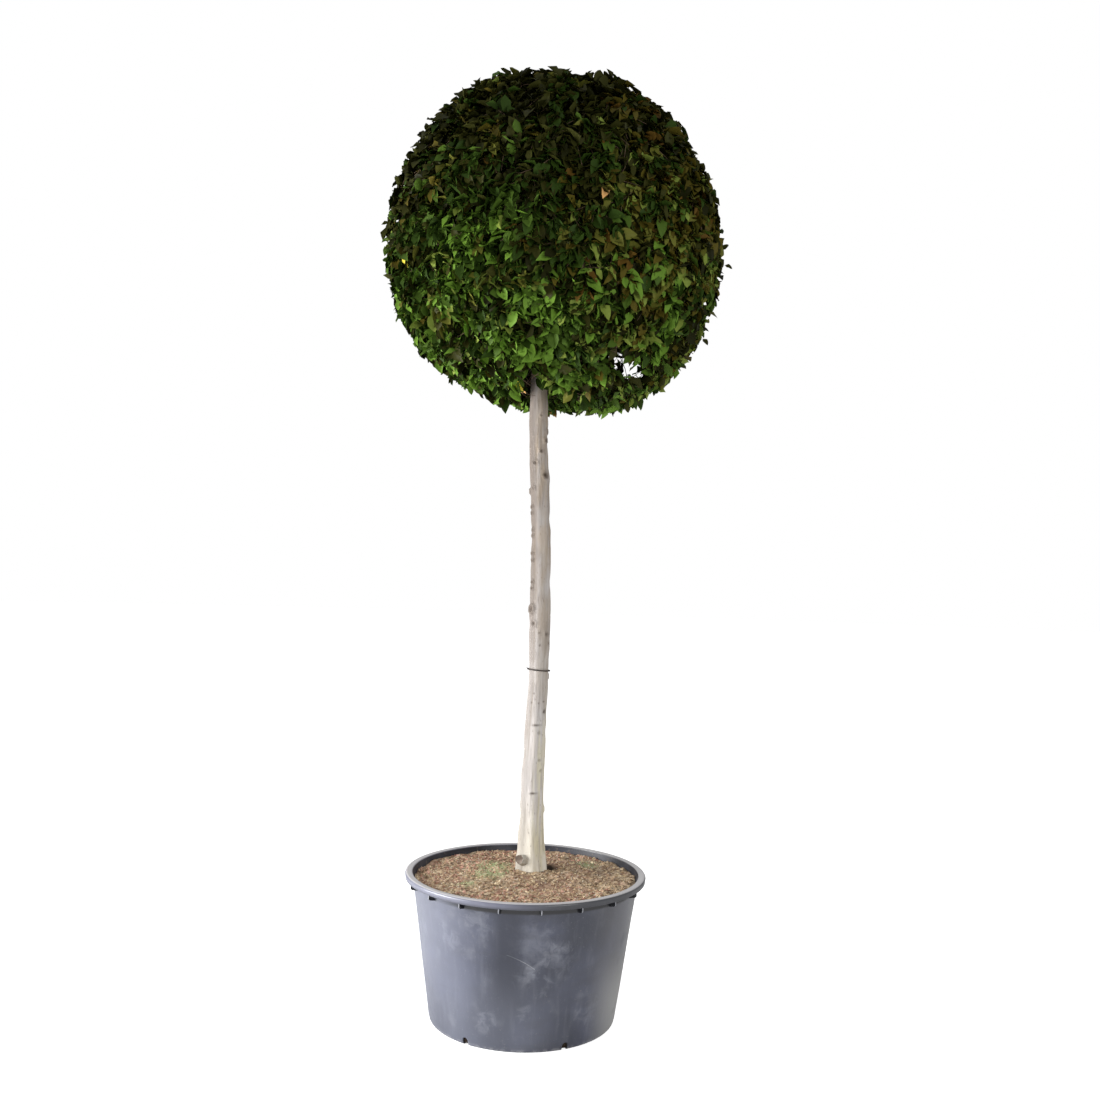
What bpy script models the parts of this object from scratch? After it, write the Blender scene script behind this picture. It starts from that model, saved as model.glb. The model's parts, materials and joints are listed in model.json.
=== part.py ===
"""A clipped ball standard: a hornbeam trained as a ball of leaves on a clear stem, in a nursery pot.

Run with: blender --background --python part.py

Metres, +Z up, -Y is the front. The origin is the centre of the pot's flat underside.
One object is made for each sub-part: the pot, the potting mix that fills it, the trunk from its foot to its
fork, the wire tie round it, six boughs, and the six masses of foliage that the boughs carry.
"""

import math
import random

import bmesh
import bpy
from mathutils import Matrix, Vector
from mathutils.bvhtree import BVHTree

# ---- driving dimensions ---------------------------------------------------------------------------------

TOUCH = 0.0003  # the gap kept between two pieces that touch

POT_HEIGHT = 0.510
POT_FOOT_RADIUS = 0.3275  # outside of the wall, at the ground
POT_WALL_SLOPE = 0.147  # growth of the radius for each metre of height
POT_WALL = 0.005
POT_FLOOR = 0.007
FOOT_ROUND = 0.009
LIP_RADIUS = 0.4275
LIP_DEPTH = 0.021
LIP_ROUND = 0.008
POT_STEPS = 64
GUSSETS = 19
GUSSET_DROP = 0.022
GUSSET_THICK = 0.004
GUSSET_SHORT = 0.005  # from a gusset's end to the lip's edge
GUSSET_END = 0.017  # height of that end below the lip
GUSSET_SUNK = 0.0025  # how far a gusset is let into the wall and the lip
GUSSET_TURN = math.radians(-10.6)  # from the front to the first one
DRAIN_SLOTS = 6
DRAIN_WIDTH = 0.020
DRAIN_HEIGHT = 0.026
DRAIN_DEPTH = 0.018  # in from the foot's edge
DRAIN_TURN = math.radians(27)

MIX_BELOW_RIM = 0.022  # at the wall
GROUND = 0.502  # level of the potting mix at the trunk
MIX_SLOPE_RADIUS = 0.36  # the mound has levelled out this far from the trunk
MIX_RINGS = 6
MIX_STEPS = 40
MIX_RELIEF = 0.005

TRUNK_FOOT = Vector((0.017, 0.050, GROUND + TOUCH))
TRUNK_FORK = 2.420  # height of the trunk's top
TRUNK_SWAY = ((0.0, 0.017), (0.16, 0.0155), (0.42, 0.0265), (0.68, 0.0155), (0.82, 0.0005), (1.0, -0.004))
TRUNK_RADIUS_FOOT = 0.0365
TRUNK_RADIUS_FORK = 0.0315
FLARE = 0.0185
FLARE_LENGTH = 0.16
FORK_SWELL = 0.006
FLUTES = 5
FLUTE_DEPTH = 0.035  # as a share of the radius
TRUNK_SIDES = 13
TRUNK_RINGS = 36

# Cut side shoots: height above the ground, angle from the front towards the right, radius.
SCARS = (
    (0.039, -37, 0.023),
    (0.218, 92, 0.007),
    (0.523, 5, 0.008),
    (0.571, 56, 0.009),
    (0.697, 90, 0.007),
    (0.853, 39, 0.010),
    (0.891, -40, 0.009),
    (1.379, -78, 0.009),
    (1.438, 41, 0.012),
    (1.566, 52, 0.008),
    (1.598, 64, 0.008),
)
BUD_ROW = 5  # pairs of old buds up the left side of the trunk
BUD_ROW_FOOT = 0.945
BUD_SPACING = 0.088
BUD_ANGLE = -58
BUD_RADIUS = 0.006

TIE_HEIGHT = 1.222
TIE_TILT = math.radians(5)
TIE_STEPS = 24
TIE_KNOT = math.radians(270)  # from the front towards the right
TIE_WIRE = 0.0016
TIE_TAIL = 0.014

CROWN_CENTRE = Vector((0.038, 0.030, 2.756))
CROWN_RADIUS = 0.612
CROWN_HALF_HEIGHT = 0.594
CROWN_SQUARENESS = 2.2  # exponent of the outline; 2 is an ellipse
# Where the shears left it fuller or thinner: the angle from its top round to the right, as seen from the front,
# how wide that place is, both in degrees, and how much more it reaches there, as a share.
SEEN_FROM_BELOW = (0.31, 0.14)  # how far the outline's top leans to the front, and how near all of it is
CROWN_SWELLS = (
    (20, 7, 0.014),
    (62, 14, -0.016),
    (112, 18, 0.032),
    (150, 15, 0.044),
    (175, 9, -0.040),
    (210, 16, -0.038),
    (279, 10, 0.028),
    (335, 15, 0.040),
)
CORE_OUT = 0.90  # outside of a mass's core, as a share of the crown's reach
CORE_IN = 0.83
SEAM = 0.0015  # half of the gap between two masses
TOP_POLAR = math.radians(46)  # the top mass ends here, and the side masses begin
OPEN_FRONT = math.radians(166)  # no leaf grows past these, so the underside is open round the trunk
OPEN_BACK = math.radians(172)
TRUNK_CLEAR = 0.035
TRUNK_SHOWN = 2.268  # no leaf hangs lower than this straight in front of the trunk
SHOWN_HALF_WIDTH = 0.048
LEAF_FLOOR = 0.82  # no leaf comes nearer to the crown's centre than this share

# A see-through gap low on the right of the crown: a straight tunnel that no twig or leaf enters.
GAP_THROUGH = Vector((0.320, 0.000, 2.347))
GAP_ALONG = Vector((0.066, 1.000, 0.197)).normalized()
GAP_RADIUS = 0.050

MASS_NAMES = ("front", "right", "back_right", "back_left", "left")
CORE_ENDS = (154, 154, 157, 157, 154)  # polar angle of the foot of each side mass's core, in degrees
BOUGH_FOOT_RADIUS = 0.0150
LEADER_FOOT_RADIUS = 0.0240
BOUGH_TIP_RADIUS = 0.0090
BOUGH_FORKS = (0.390, 0.425, 0.372, 0.432, 0.408)  # how far below the crown's centre each side bough leaves
BOUGH_END_POLAR = math.radians(98)
BOUGH_SIDES = 8
BOUGH_SAG = 0.075  # how far a side bough's bend is below the straight line
STEM_LENGTH = 0.035

SPRAYS = 110
SPRAY_LENGTH = 0.165
SPRAY_HEIGHTS = (0.86, 0.930, 0.960)  # of a twig's root, bend and tip, as shares of the crown's reach
SPRAY_BEND = 0.30  # where a twig bends, as a share of its length
SPRAY_DROOP = 1.3  # how strongly the twigs at the sides turn downwards
SPRAY_TRIES = 10  # turns of a spray that are tried, to find the one that keeps most of its leaves
SEAM_CLEAR = 0.045  # from a spray's root to the edge of its mass
TWIG_RADII = (0.0065, 0.0055, 0.0040)
LEAF_LENGTH = 0.135
LEAF_WIDTH = 0.084
LEAF_THICK = 0.0040
LEAF_FOLD = 0.009
LEAVES_UP_TWIG = (0.30, 0.50, 0.70, 0.88)
LEAF_SPREAD = math.radians(56)
# Shares of the spread and the size that a leaf tries in turn, until it fits.
LEAF_FITS = ((1.0, 1.0), (0.5, 1.0), (1.0, 0.8), (0.15, 0.9), (0.5, 0.7))
LEAF_SUNK = 0.0018  # how far a leaf's base is past the middle of its twig
END_LEAF_SUNK = 0.008
LEAF_TILT = 0.30  # how far a leaf's lower edge stands out over the next leaf

GOLDEN_ANGLE = math.pi * (3 - math.sqrt(5))


# ---- scene and materials --------------------------------------------------------------------------------


def clear_scene():
    for item in list(bpy.data.objects):
        bpy.data.objects.remove(item, do_unlink=True)


def material(name, colour, roughness):
    made = bpy.data.materials.new(name)
    made.use_nodes = True
    shader = made.node_tree.nodes["Principled BSDF"]
    shader.inputs["Base Color"].default_value = (*colour, 1)
    shader.inputs["Roughness"].default_value = roughness
    shader.inputs["Metallic"].default_value = 0
    return made


def add_object(name, mesh, finish=None, collection=None):
    made = bpy.data.objects.new(name, mesh)
    (collection or bpy.context.scene.collection).objects.link(made)
    if finish:
        mesh.materials.append(finish)
    return made


def mesh_from(shape, name, smooth_degrees=None):
    """Ends a bmesh: merges doubles, turns the faces outwards and returns a mesh."""
    bmesh.ops.remove_doubles(shape, verts=shape.verts, dist=1e-6)
    bmesh.ops.recalc_face_normals(shape, faces=shape.faces)
    mesh = bpy.data.meshes.new(name)
    shape.to_mesh(mesh)
    shape.free()
    if smooth_degrees is not None:
        mesh.shade_smooth()
        mesh.set_sharp_from_angle(angle=math.radians(smooth_degrees))
    return mesh


def evaluated_mesh(item):
    """The item's mesh with its modifiers applied."""
    bpy.context.view_layer.update()
    graph = bpy.context.evaluated_depsgraph_get()
    return bpy.data.meshes.new_from_object(item.evaluated_get(graph))


def joined_mesh(item, operation, pieces, solver="EXACT"):
    """The item's mesh with a collection of pieces joined to it, or cut out of it."""
    joint = item.modifiers.new("joint", "BOOLEAN")
    joint.operation = operation
    joint.operand_type = "COLLECTION"
    joint.collection = pieces
    joint.solver = solver
    mesh = evaluated_mesh(item)
    item.modifiers.remove(joint)
    return mesh


def remove_collection(pieces):
    for piece in list(pieces.objects):
        bpy.data.objects.remove(piece, do_unlink=True)
    bpy.data.collections.remove(pieces)


def fuse(item, operation, pieces):
    """Joins a collection of pieces to the item, or cuts them out of it, and removes them."""
    item.data = joined_mesh(item, operation, pieces)
    remove_collection(pieces)


def keep_outer_skin(mesh):
    """Leaves the one outer skin of a fused mass, in triangles: no sealed hollows, and no loose scraps."""
    shape = bmesh.new()
    shape.from_mesh(mesh)
    left = set(shape.verts)
    skins = []
    while left:
        front = [left.pop()]
        skin = set(front)
        while front:
            here = front.pop()
            near = {edge.other_vert(here) for edge in here.link_edges} - skin
            skin |= near
            front.extend(near)
        left -= skin
        skins.append(skin)
    largest = max(skins, key=len)
    loose = [vertex for skin in skins if skin is not largest for vertex in skin]
    bmesh.ops.delete(shape, geom=loose, context="VERTS")
    spare = [vertex for vertex in shape.verts if len(vertex.link_edges) == 2]
    bmesh.ops.dissolve_verts(shape, verts=spare)
    bmesh.ops.triangulate(shape, faces=shape.faces)
    shape.to_mesh(mesh)
    shape.free()


def torn_places(mesh):
    """The middle of each edge that isn't shared by just two faces."""
    shape = bmesh.new()
    shape.from_mesh(mesh)
    edges = [edge for edge in shape.edges if len(edge.link_faces) != 2]
    torn = [(edge.verts[0].co + edge.verts[1].co) / 2 for edge in edges]
    shape.free()
    return torn


def new_collection(name):
    made = bpy.data.collections.new(name)
    bpy.context.scene.collection.children.link(made)
    return made


# ---- shared geometry ------------------------------------------------------------------------------------


def turned(profile, steps, name, smooth_degrees=None):
    """A solid of revolution about Z. Its (radius, height) points run from the axis round to the axis."""
    shape = bmesh.new()
    points = [shape.verts.new((radius, 0, height)) for radius, height in profile]
    edges = [shape.edges.new(pair) for pair in zip(points, points[1:])]
    about = {"cent": (0, 0, 0), "axis": (0, 0, 1), "angle": math.tau}
    bmesh.ops.spin(shape, geom=points + edges, **about, steps=steps, use_merge=True)
    return mesh_from(shape, name, smooth_degrees)


def arc(centre, radius, start, end, steps):
    """Points of a round corner, as (radius, height), between two angles in degrees."""
    angles = [math.radians(start + (end - start) * i / steps) for i in range(steps + 1)]
    return [(centre[0] + radius * math.cos(a), centre[1] + radius * math.sin(a)) for a in angles]


def frame_along(direction):
    """Two unit vectors across a direction."""
    side = direction.cross(Vector((0, 0, 1)))
    if side.length < 1e-4:
        side = direction.cross(Vector((0, 1, 0)))
    side.normalize()
    return side, side.cross(direction).normalized()


def skinned(rings, name, smooth_degrees=None, endless=False):
    """A closed skin over rings of points. It has flat ends, unless it is endless and meets itself."""
    shape = bmesh.new()
    rows = [[shape.verts.new(point) for point in ring] for ring in rings]
    after = rows[1:] + rows[:1] if endless else rows[1:]
    for low, high in zip(rows, after):
        for j in range(len(low)):
            k = (j + 1) % len(low)
            shape.faces.new((low[j], low[k], high[k], high[j]))
    if not endless:
        shape.faces.new(rows[0])
        shape.faces.new(rows[-1])
    return mesh_from(shape, name, smooth_degrees)


def ring_across(point, direction, radius, sides):
    """A ring of points round a point, square to a direction."""
    side, up = frame_along(direction)
    angles = [math.tau * j / sides for j in range(sides)]
    return [point + (side * math.cos(a) + up * math.sin(a)) * radius for a in angles]


def limb(points, radii, sides, name, smooth_degrees=None):
    """A closed tapering tube through the points."""
    rings = []
    for i, (point, radius) in enumerate(zip(points, radii)):
        along = points[min(i + 1, len(points) - 1)] - points[max(i - 1, 0)]
        rings.append(ring_across(point, along.normalized(), radius, sides))
    return skinned(rings, name, smooth_degrees)


def curve_through(points, share):
    """A smooth value at a share of the way along (share, value) points."""
    shares = [p[0] for p in points]
    i = max(k for k in range(len(points) - 1) if shares[k] <= share or k == 0)
    before, after = points[max(i - 1, 0)], points[min(i + 2, len(points) - 1)]
    (s0, v0), (s1, v1) = points[i], points[i + 1]
    t = (share - s0) / (s1 - s0)
    slope0 = (v1 - before[1]) / max(s1 - before[0], 1e-9) * (s1 - s0)
    slope1 = (after[1] - v0) / max(after[0] - s0, 1e-9) * (s1 - s0)
    return (
        v0 * (2 * t**3 - 3 * t**2 + 1)
        + slope0 * (t**3 - 2 * t**2 + t)
        + v1 * (3 * t**2 - 2 * t**3)
        + slope1 * (t**3 - t**2)
    )


def bend(start, middle, end, count):
    """Points of a quadratic curve that leaves start towards middle and arrives at end."""
    shares = [i / (count - 1) for i in range(count)]
    return [start * (1 - s) ** 2 + middle * 2 * s * (1 - s) + end * s**2 for s in shares]


def from_front(angle):
    """The level unit vector at an angle from the front, growing towards the right."""
    return Vector((math.sin(angle), -math.cos(angle), 0))


# ---- pot ------------------------------------------------------------------------------------------------


def wall_radius(height):
    return POT_FOOT_RADIUS + POT_WALL_SLOPE * height


def pot_profile():
    lip_under = POT_HEIGHT - LIP_DEPTH
    floor_radius = wall_radius(POT_FLOOR) - POT_WALL
    outside = [(0, 0), (POT_FOOT_RADIUS - FOOT_ROUND, 0)]
    outside += arc((POT_FOOT_RADIUS - FOOT_ROUND, FOOT_ROUND), FOOT_ROUND, -60, 0, 3)
    outside += [(wall_radius(lip_under), lip_under)]
    lip = [(LIP_RADIUS - 0.002, lip_under)]
    lip += arc((LIP_RADIUS - LIP_ROUND, POT_HEIGHT - LIP_ROUND), LIP_ROUND, 0, 90, 4)
    inside = [
        (wall_radius(POT_HEIGHT) + 0.002, POT_HEIGHT - 0.001),
        (wall_radius(POT_HEIGHT) - 0.002, POT_HEIGHT - 0.005),
        (wall_radius(lip_under) - POT_WALL, lip_under),
        (floor_radius, POT_FLOOR),
        (0, POT_FLOOR),
    ]
    return outside + lip + inside


def extruded(corners, along, name):
    """A closed prism: a flat outline that is extruded along a vector."""
    shape = bmesh.new()
    face = shape.faces.new([shape.verts.new(corner) for corner in corners])
    grown = bmesh.ops.extrude_face_region(shape, geom=[face])["geom"]
    moved = [item for item in grown if isinstance(item, bmesh.types.BMVert)]
    bmesh.ops.translate(shape, vec=along, verts=moved)
    return mesh_from(shape, name)


def gusset_mesh():
    """A web in the XZ plane, between the wall and the underside of the lip: an upright plate."""
    under = POT_HEIGHT - LIP_DEPTH
    foot = under - GUSSET_DROP
    outline = (
        (wall_radius(under) - GUSSET_SUNK, under + GUSSET_SUNK),
        (LIP_RADIUS - GUSSET_SHORT, under + GUSSET_SUNK),
        (LIP_RADIUS - GUSSET_SHORT, under - GUSSET_END),
        (wall_radius(foot) - GUSSET_SUNK / 2, foot),
        (wall_radius(foot) - GUSSET_SUNK, foot),
    )
    corners = [(r, -GUSSET_THICK / 2, z) for r, z in outline]
    return extruded(corners, (0, GUSSET_THICK, 0), "gusset")


def drain_mesh():
    """A cutter with a round head, that runs out through the foot of the wall along X."""
    half = DRAIN_WIDTH / 2
    outline = [(-half, -half), (half, -half)]
    outline += arc((0, DRAIN_HEIGHT - half), half, 0, 180, 6)
    corners = [(POT_FOOT_RADIUS - DRAIN_DEPTH, y, z) for y, z in outline]
    return extruded(corners, (DRAIN_DEPTH * 2, 0, 0), "drain")


def make_pot(finish):
    pot = add_object("pot", turned(pot_profile(), POT_STEPS, "pot", 30), finish)
    webs = new_collection("gussets")
    for i in range(GUSSETS):
        web = add_object(f"gusset_{i}", gusset_mesh(), finish, webs)
        web.rotation_euler.z = GUSSET_TURN - math.pi / 2 + math.tau * i / GUSSETS
    fuse(pot, "UNION", webs)
    slots = new_collection("drains")
    for i in range(DRAIN_SLOTS):
        slot = add_object(f"drain_{i}", drain_mesh(), finish, slots)
        slot.rotation_euler.z = DRAIN_TURN - math.pi / 2 + math.tau * i / DRAIN_SLOTS
    fuse(pot, "DIFFERENCE", slots)
    return pot


# ---- potting mix ----------------------------------------------------------------------------------------


def seat_radius():
    """The flat part of the mix that the trunk's foot stands on."""
    return (TRUNK_RADIUS_FOOT + FLARE) * 1.25


def mix_height(x, y):
    """Level of the mix: it mounds gently and unevenly from the wall to the trunk's seat."""
    edge = POT_HEIGHT - MIX_BELOW_RIM
    away = math.hypot(x - TRUNK_FOOT.x, y - TRUNK_FOOT.y)
    slope = min(1, max(0, (away - seat_radius()) / (MIX_SLOPE_RADIUS - seat_radius())))
    level = GROUND + (edge - GROUND) * slope * slope * (3 - 2 * slope)
    lumps = math.sin(31 * x + 4 * math.sin(17 * y)) * math.sin(27 * y + 3 * math.sin(23 * x))
    return level + MIX_RELIEF * lumps * min(1, slope * 8)


def circle(middle, radius, height):
    centre = Vector((middle.x, middle.y, height))
    angles = [math.tau * j / MIX_STEPS for j in range(MIX_STEPS)]
    return [centre + Vector((math.cos(a), math.sin(a), 0)) * radius for a in angles]


def make_mix(finish):
    """A plug that fills the pot, with a lumpy top. Its middle ring is the flat seat of the trunk."""
    low, high = POT_FLOOR + TOUCH, POT_HEIGHT - MIX_BELOW_RIM - MIX_RELIEF
    pot_axis = Vector((0, 0, 0))
    rims = [circle(pot_axis, wall_radius(z) - POT_WALL - 2 * TOUCH, z) for z in (low, high)]
    seat = circle(TRUNK_FOOT, seat_radius(), GROUND)
    edge = circle(pot_axis, wall_radius(high) - POT_WALL, POT_HEIGHT - MIX_BELOW_RIM)
    rims.append(edge)
    for i in range(1, MIX_RINGS):
        spots = [outer.lerp(inner, i / (MIX_RINGS - 1)) for outer, inner in zip(edge, seat)]
        rims.append([Vector((spot.x, spot.y, mix_height(spot.x, spot.y))) for spot in spots])
    return add_object("potting_mix", skinned(rims, "potting_mix"), finish)


# ---- trunk ----------------------------------------------------------------------------------------------


def trunk_point(height):
    """The trunk's centre at a height above the ground plane of the pot."""
    share = (height - TRUNK_FOOT.z) / (TRUNK_FORK - TRUNK_FOOT.z)
    across = curve_through(TRUNK_SWAY, share)
    back = TRUNK_FOOT.y + (CROWN_CENTRE.y - TRUNK_FOOT.y) * share
    return Vector((across, back, height))


def trunk_radius(height):
    """The taper, the root flare at the foot, and the swelling under the fork."""
    rise = height - TRUNK_FOOT.z
    share = rise / (TRUNK_FORK - TRUNK_FOOT.z)
    plain = TRUNK_RADIUS_FOOT + (TRUNK_RADIUS_FORK - TRUNK_RADIUS_FOOT) * share**2.5
    swell = FORK_SWELL * math.exp(-(((TRUNK_FORK - 0.02 - height) / 0.05) ** 2))
    waist = 0.0011 * math.sin(9 * share + 17 * share * share)
    return plain + FLARE * math.exp(-rise / FLARE_LENGTH) + swell + waist


def trunk_flutes(height, angle):
    """The muscled cross-section, which twists slowly up the trunk."""
    turn = FLUTES * angle + 1.9 * height
    return 1 + FLUTE_DEPTH * (math.sin(turn) + 0.6 * math.sin(2 * angle - 2.3 * height))


def trunk_surface(height, angle_from_front):
    """A point on the trunk's bark and the level direction straight out of it."""
    out = from_front(angle_from_front)
    return trunk_point(height) + out * trunk_radius(height), out


def scar_list():
    """Every cut shoot and old bud: height above the ground, angle from the front in degrees, and radius."""
    scars = list(SCARS)
    for i in range(BUD_ROW):
        height = BUD_ROW_FOOT + BUD_SPACING * i
        scars.append((height, BUD_ANGLE, BUD_RADIUS))
        scars.append((height + 0.022, BUD_ANGLE - 6, BUD_RADIUS * 0.8))
    return scars


def trunk_heights():
    """Ring heights, closer together in the flare and under the fork."""
    length = TRUNK_FORK - TRUNK_FOOT.z
    shares = [i / (TRUNK_RINGS - 1) for i in range(TRUNK_RINGS)]
    return [TRUNK_FOOT.z + length * (s - 0.06 * math.sin(math.tau * s)) for s in shares]


def make_trunk(finish):
    rings = []
    for height in trunk_heights():
        angles = [math.tau * j / TRUNK_SIDES for j in range(TRUNK_SIDES)]
        reaches = [trunk_radius(height) * trunk_flutes(height, angle) for angle in angles]
        middle = trunk_point(height)
        rings.append([middle + from_front(angle) * reach for angle, reach in zip(angles, reaches)])
    trunk = add_object("trunk", skinned(rings, "trunk", 50), finish)
    bosses = new_collection("scars")
    for i, (rise, degrees, radius) in enumerate(scar_list()):
        height = GROUND + rise
        spot, out = trunk_surface(height, math.radians(degrees))
        shape = bmesh.new()
        bmesh.ops.create_icosphere(shape, subdivisions=1, radius=radius)
        bmesh.ops.scale(shape, vec=(1, 1, 1.25), verts=shape.verts)
        bmesh.ops.translate(shape, vec=spot - out * radius * 0.45, verts=shape.verts)
        add_object(f"scar_{i}", mesh_from(shape, "scar"), finish, bosses)
    fuse(trunk, "UNION", bosses)
    return trunk


def tie_point(angle):
    """The middle of the wire, which lies on the trunk's flutes in a plane that tilts up to the right."""
    height = TIE_HEIGHT - 0.03 * math.sin(TIE_TILT) * math.sin(angle)
    around = max(trunk_flutes(height, angle + a) for a in (-0.25, 0, 0.25))
    return trunk_point(height) + from_front(angle) * (trunk_radius(height) * around + TIE_WIRE + TOUCH * 2)


def make_tie(finish):
    """A loop of wire round the trunk, with the two tails of its knot at the left."""
    points = [tie_point(math.tau * i / TIE_STEPS) for i in range(TIE_STEPS)]
    rings = []
    for i, point in enumerate(points):
        along = points[(i + 1) % TIE_STEPS] - points[i - 1]
        rings.append(ring_across(point, along.normalized(), TIE_WIRE, 6))
    tie = add_object("trunk_tie", skinned(rings, "trunk_tie", 60, endless=True), finish)
    knot = new_collection("knot")
    start = tie_point(TIE_KNOT)
    out = from_front(TIE_KNOT)
    rise = Vector((0, 0, 1))
    for name, lean in (("tail_a", 0.9), ("tail_b", 1.6)):
        tip = start + (out + rise * lean).normalized() * TIE_TAIL
        mesh = limb([start - out * TIE_WIRE * 0.5, tip], [TIE_WIRE * 1.15, TIE_WIRE * 0.8], 6, name)
        add_object(name, mesh, finish, knot)
    fuse(tie, "UNION", knot)
    return tie


# ---- crown: its outline and its spaces ------------------------------------------------------------------


def reach(direction):
    """How far the clipped outline is from the crown's centre in a direction."""
    level = math.hypot(direction.x, direction.y) / CROWN_RADIUS
    rise = abs(direction.z) / CROWN_HALF_HEIGHT
    n = CROWN_SQUARENESS
    swell = 1.0
    for turn, width, height in CROWN_SWELLS:
        angle = math.radians(turn)
        forward = SEEN_FROM_BELOW[0] * math.cos(angle) + SEEN_FROM_BELOW[1]
        place = Vector((math.sin(angle), -forward, math.cos(angle)))
        swell += height * math.exp(-((direction.angle(place) / math.radians(width)) ** 2))
    return (level**n + rise**n) ** (-1 / n) * swell


def on_crown(polar, azimuth, share):
    """A point at a share of the reach, at an angle down from the top and an angle from the front."""
    direction = from_front(azimuth) * math.sin(polar) + Vector((0, 0, math.cos(polar)))
    return CROWN_CENTRE + direction * reach(direction) * share


def mass_azimuth(index):
    return math.tau * index / len(MASS_NAMES)


def turn_from(azimuth, centre):
    """The angle from a centre azimuth, between minus and plus half a turn."""
    return (azimuth - centre + math.pi) % math.tau - math.pi


def place_of(point):
    """The distance from the crown's centre, the polar angle and the azimuth of a point."""
    offset = point - CROWN_CENTRE
    distance = offset.length
    return distance, math.acos(offset.z / distance), math.atan2(offset.x, -offset.y)


def mass_at(point):
    """The name of the mass whose space holds a point."""
    _, polar, azimuth = place_of(point)
    if polar < TOP_POLAR:
        return "top"
    return MASS_NAMES[round(azimuth / math.tau * len(MASS_NAMES)) % len(MASS_NAMES)]


def in_space(point, name):
    """True where a mass may grow: in its part of the outline, clear of the trunk and of the openings."""
    distance, polar, azimuth = place_of(point)
    share = distance / reach((point - CROWN_CENTRE) / distance)
    opening = (OPEN_FRONT + OPEN_BACK) / 2 + (OPEN_FRONT - OPEN_BACK) / 2 * math.cos(azimuth)
    if not LEAF_FLOOR < share < 1 or polar > opening or in_gap(point):
        return False
    if name == "top":
        return distance * math.sin(TOP_POLAR - polar) > SEAM
    beside_trunk = point - trunk_point(min(point.z, TRUNK_FORK))
    if beside_trunk.length < TRUNK_RADIUS_FORK + TRUNK_CLEAR:
        return False
    if point.z < TRUNK_SHOWN and point.y < CROWN_CENTRE.y and abs(beside_trunk.x) < SHOWN_HALF_WIDTH:
        return False
    half = math.pi / len(MASS_NAMES)
    turn = abs(turn_from(azimuth, mass_azimuth(MASS_NAMES.index(name))))
    beside = distance * math.sin(polar) * math.sin(half - turn) > SEAM
    return beside and distance * math.sin(polar - TOP_POLAR) > SEAM * 5


def in_gap(point):
    offset = point - GAP_THROUGH
    return (offset - GAP_ALONG * offset.dot(GAP_ALONG)).length < GAP_RADIUS


# ---- crown: boughs --------------------------------------------------------------------------------------


def bough_points(name):
    """A bough's centre line: it ends a stem's length short of the core of the mass that it carries."""
    if name == "top":
        start = trunk_point(TRUNK_FORK) + Vector((0, 0, TOUCH * 2))
        end = on_crown(math.radians(4), 0.6, CORE_IN) - Vector((0, 0, STEM_LENGTH))
        return bend(start, start + Vector((0, 0, 0.35)), end, 8)
    index = MASS_NAMES.index(name)
    inside = on_crown(BOUGH_END_POLAR, mass_azimuth(index), CORE_IN)
    end = inside - (inside - CROWN_CENTRE).normalized() * STEM_LENGTH
    start = trunk_point(CROWN_CENTRE.z - BOUGH_FORKS[index])
    knee = start.lerp(end, 0.55) - Vector((0, 0, BOUGH_SAG))
    return bend(start, knee, end, 8)


def taper(count, first, last):
    return [first + (last - first) * i / (count - 1) for i in range(count)]


def trunk_clearance(trunk, pieces):
    """A copy of the trunk, grown by the touching gap, that cuts the foot of each side bough."""
    cutter = add_object("trunk_clearance", trunk.data.copy(), None, pieces)
    for vertex in cutter.data.vertices:
        vertex.co += vertex.normal * TOUCH * 2
    return cutter


def make_bough(name, trunk, finish):
    points = bough_points(name)
    foot = LEADER_FOOT_RADIUS if name == "top" else BOUGH_FOOT_RADIUS
    mesh = limb(points, taper(len(points), foot, BOUGH_TIP_RADIUS), BOUGH_SIDES, f"bough_{name}", 50)
    bough = add_object(f"bough_{name}", mesh, finish)
    if name != "top":
        cutters = new_collection("clearance")
        trunk_clearance(trunk, cutters)
        fuse(bough, "DIFFERENCE", cutters)
    return bough


# ---- crown: masses of foliage ---------------------------------------------------------------------------


def core_outline(first, last, steps):
    """A core's outline between two polar angles, as (radius, height above the crown's centre)."""
    outline = []
    for share, angles in ((CORE_OUT, (first, last)), (CORE_IN, (last, first))):
        for i in range(steps + 1):
            polar = angles[0] + (angles[1] - angles[0]) * i / steps
            spot = on_crown(polar, math.pi / 2, share) - CROWN_CENTRE
            outline.append((spot.x, spot.z))
    return outline


def side_core(name):
    """A curved slab: the core's outline swept round the crown's axis between the two seams."""
    first = TOP_POLAR + SEAM / (CROWN_RADIUS * CORE_IN)
    index = MASS_NAMES.index(name)
    outline = core_outline(first, math.radians(CORE_ENDS[index]), 6)
    half = math.pi / len(MASS_NAMES) - SEAM / (CROWN_RADIUS * 0.35)
    centre = mass_azimuth(index)
    steps = 6
    rows = []
    for i in range(steps + 1):
        out = from_front(centre - half + 2 * half * i / steps)
        rows.append([CROWN_CENTRE + out * r + Vector((0, 0, z)) for r, z in outline])
    return skinned(rows, f"foliage_{name}")


def top_core():
    """A domed cap, turned about the crown's axis."""
    last = TOP_POLAR - SEAM / (CROWN_RADIUS * CORE_IN)
    outline = core_outline(0, last, 4)
    outline[0] = (0, outline[0][1])
    outline[-1] = (0, outline[-1][1])
    mesh = turned(outline, 20, "foliage_top")
    mesh.transform(Matrix.Translation(CROWN_CENTRE))
    return mesh


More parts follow.
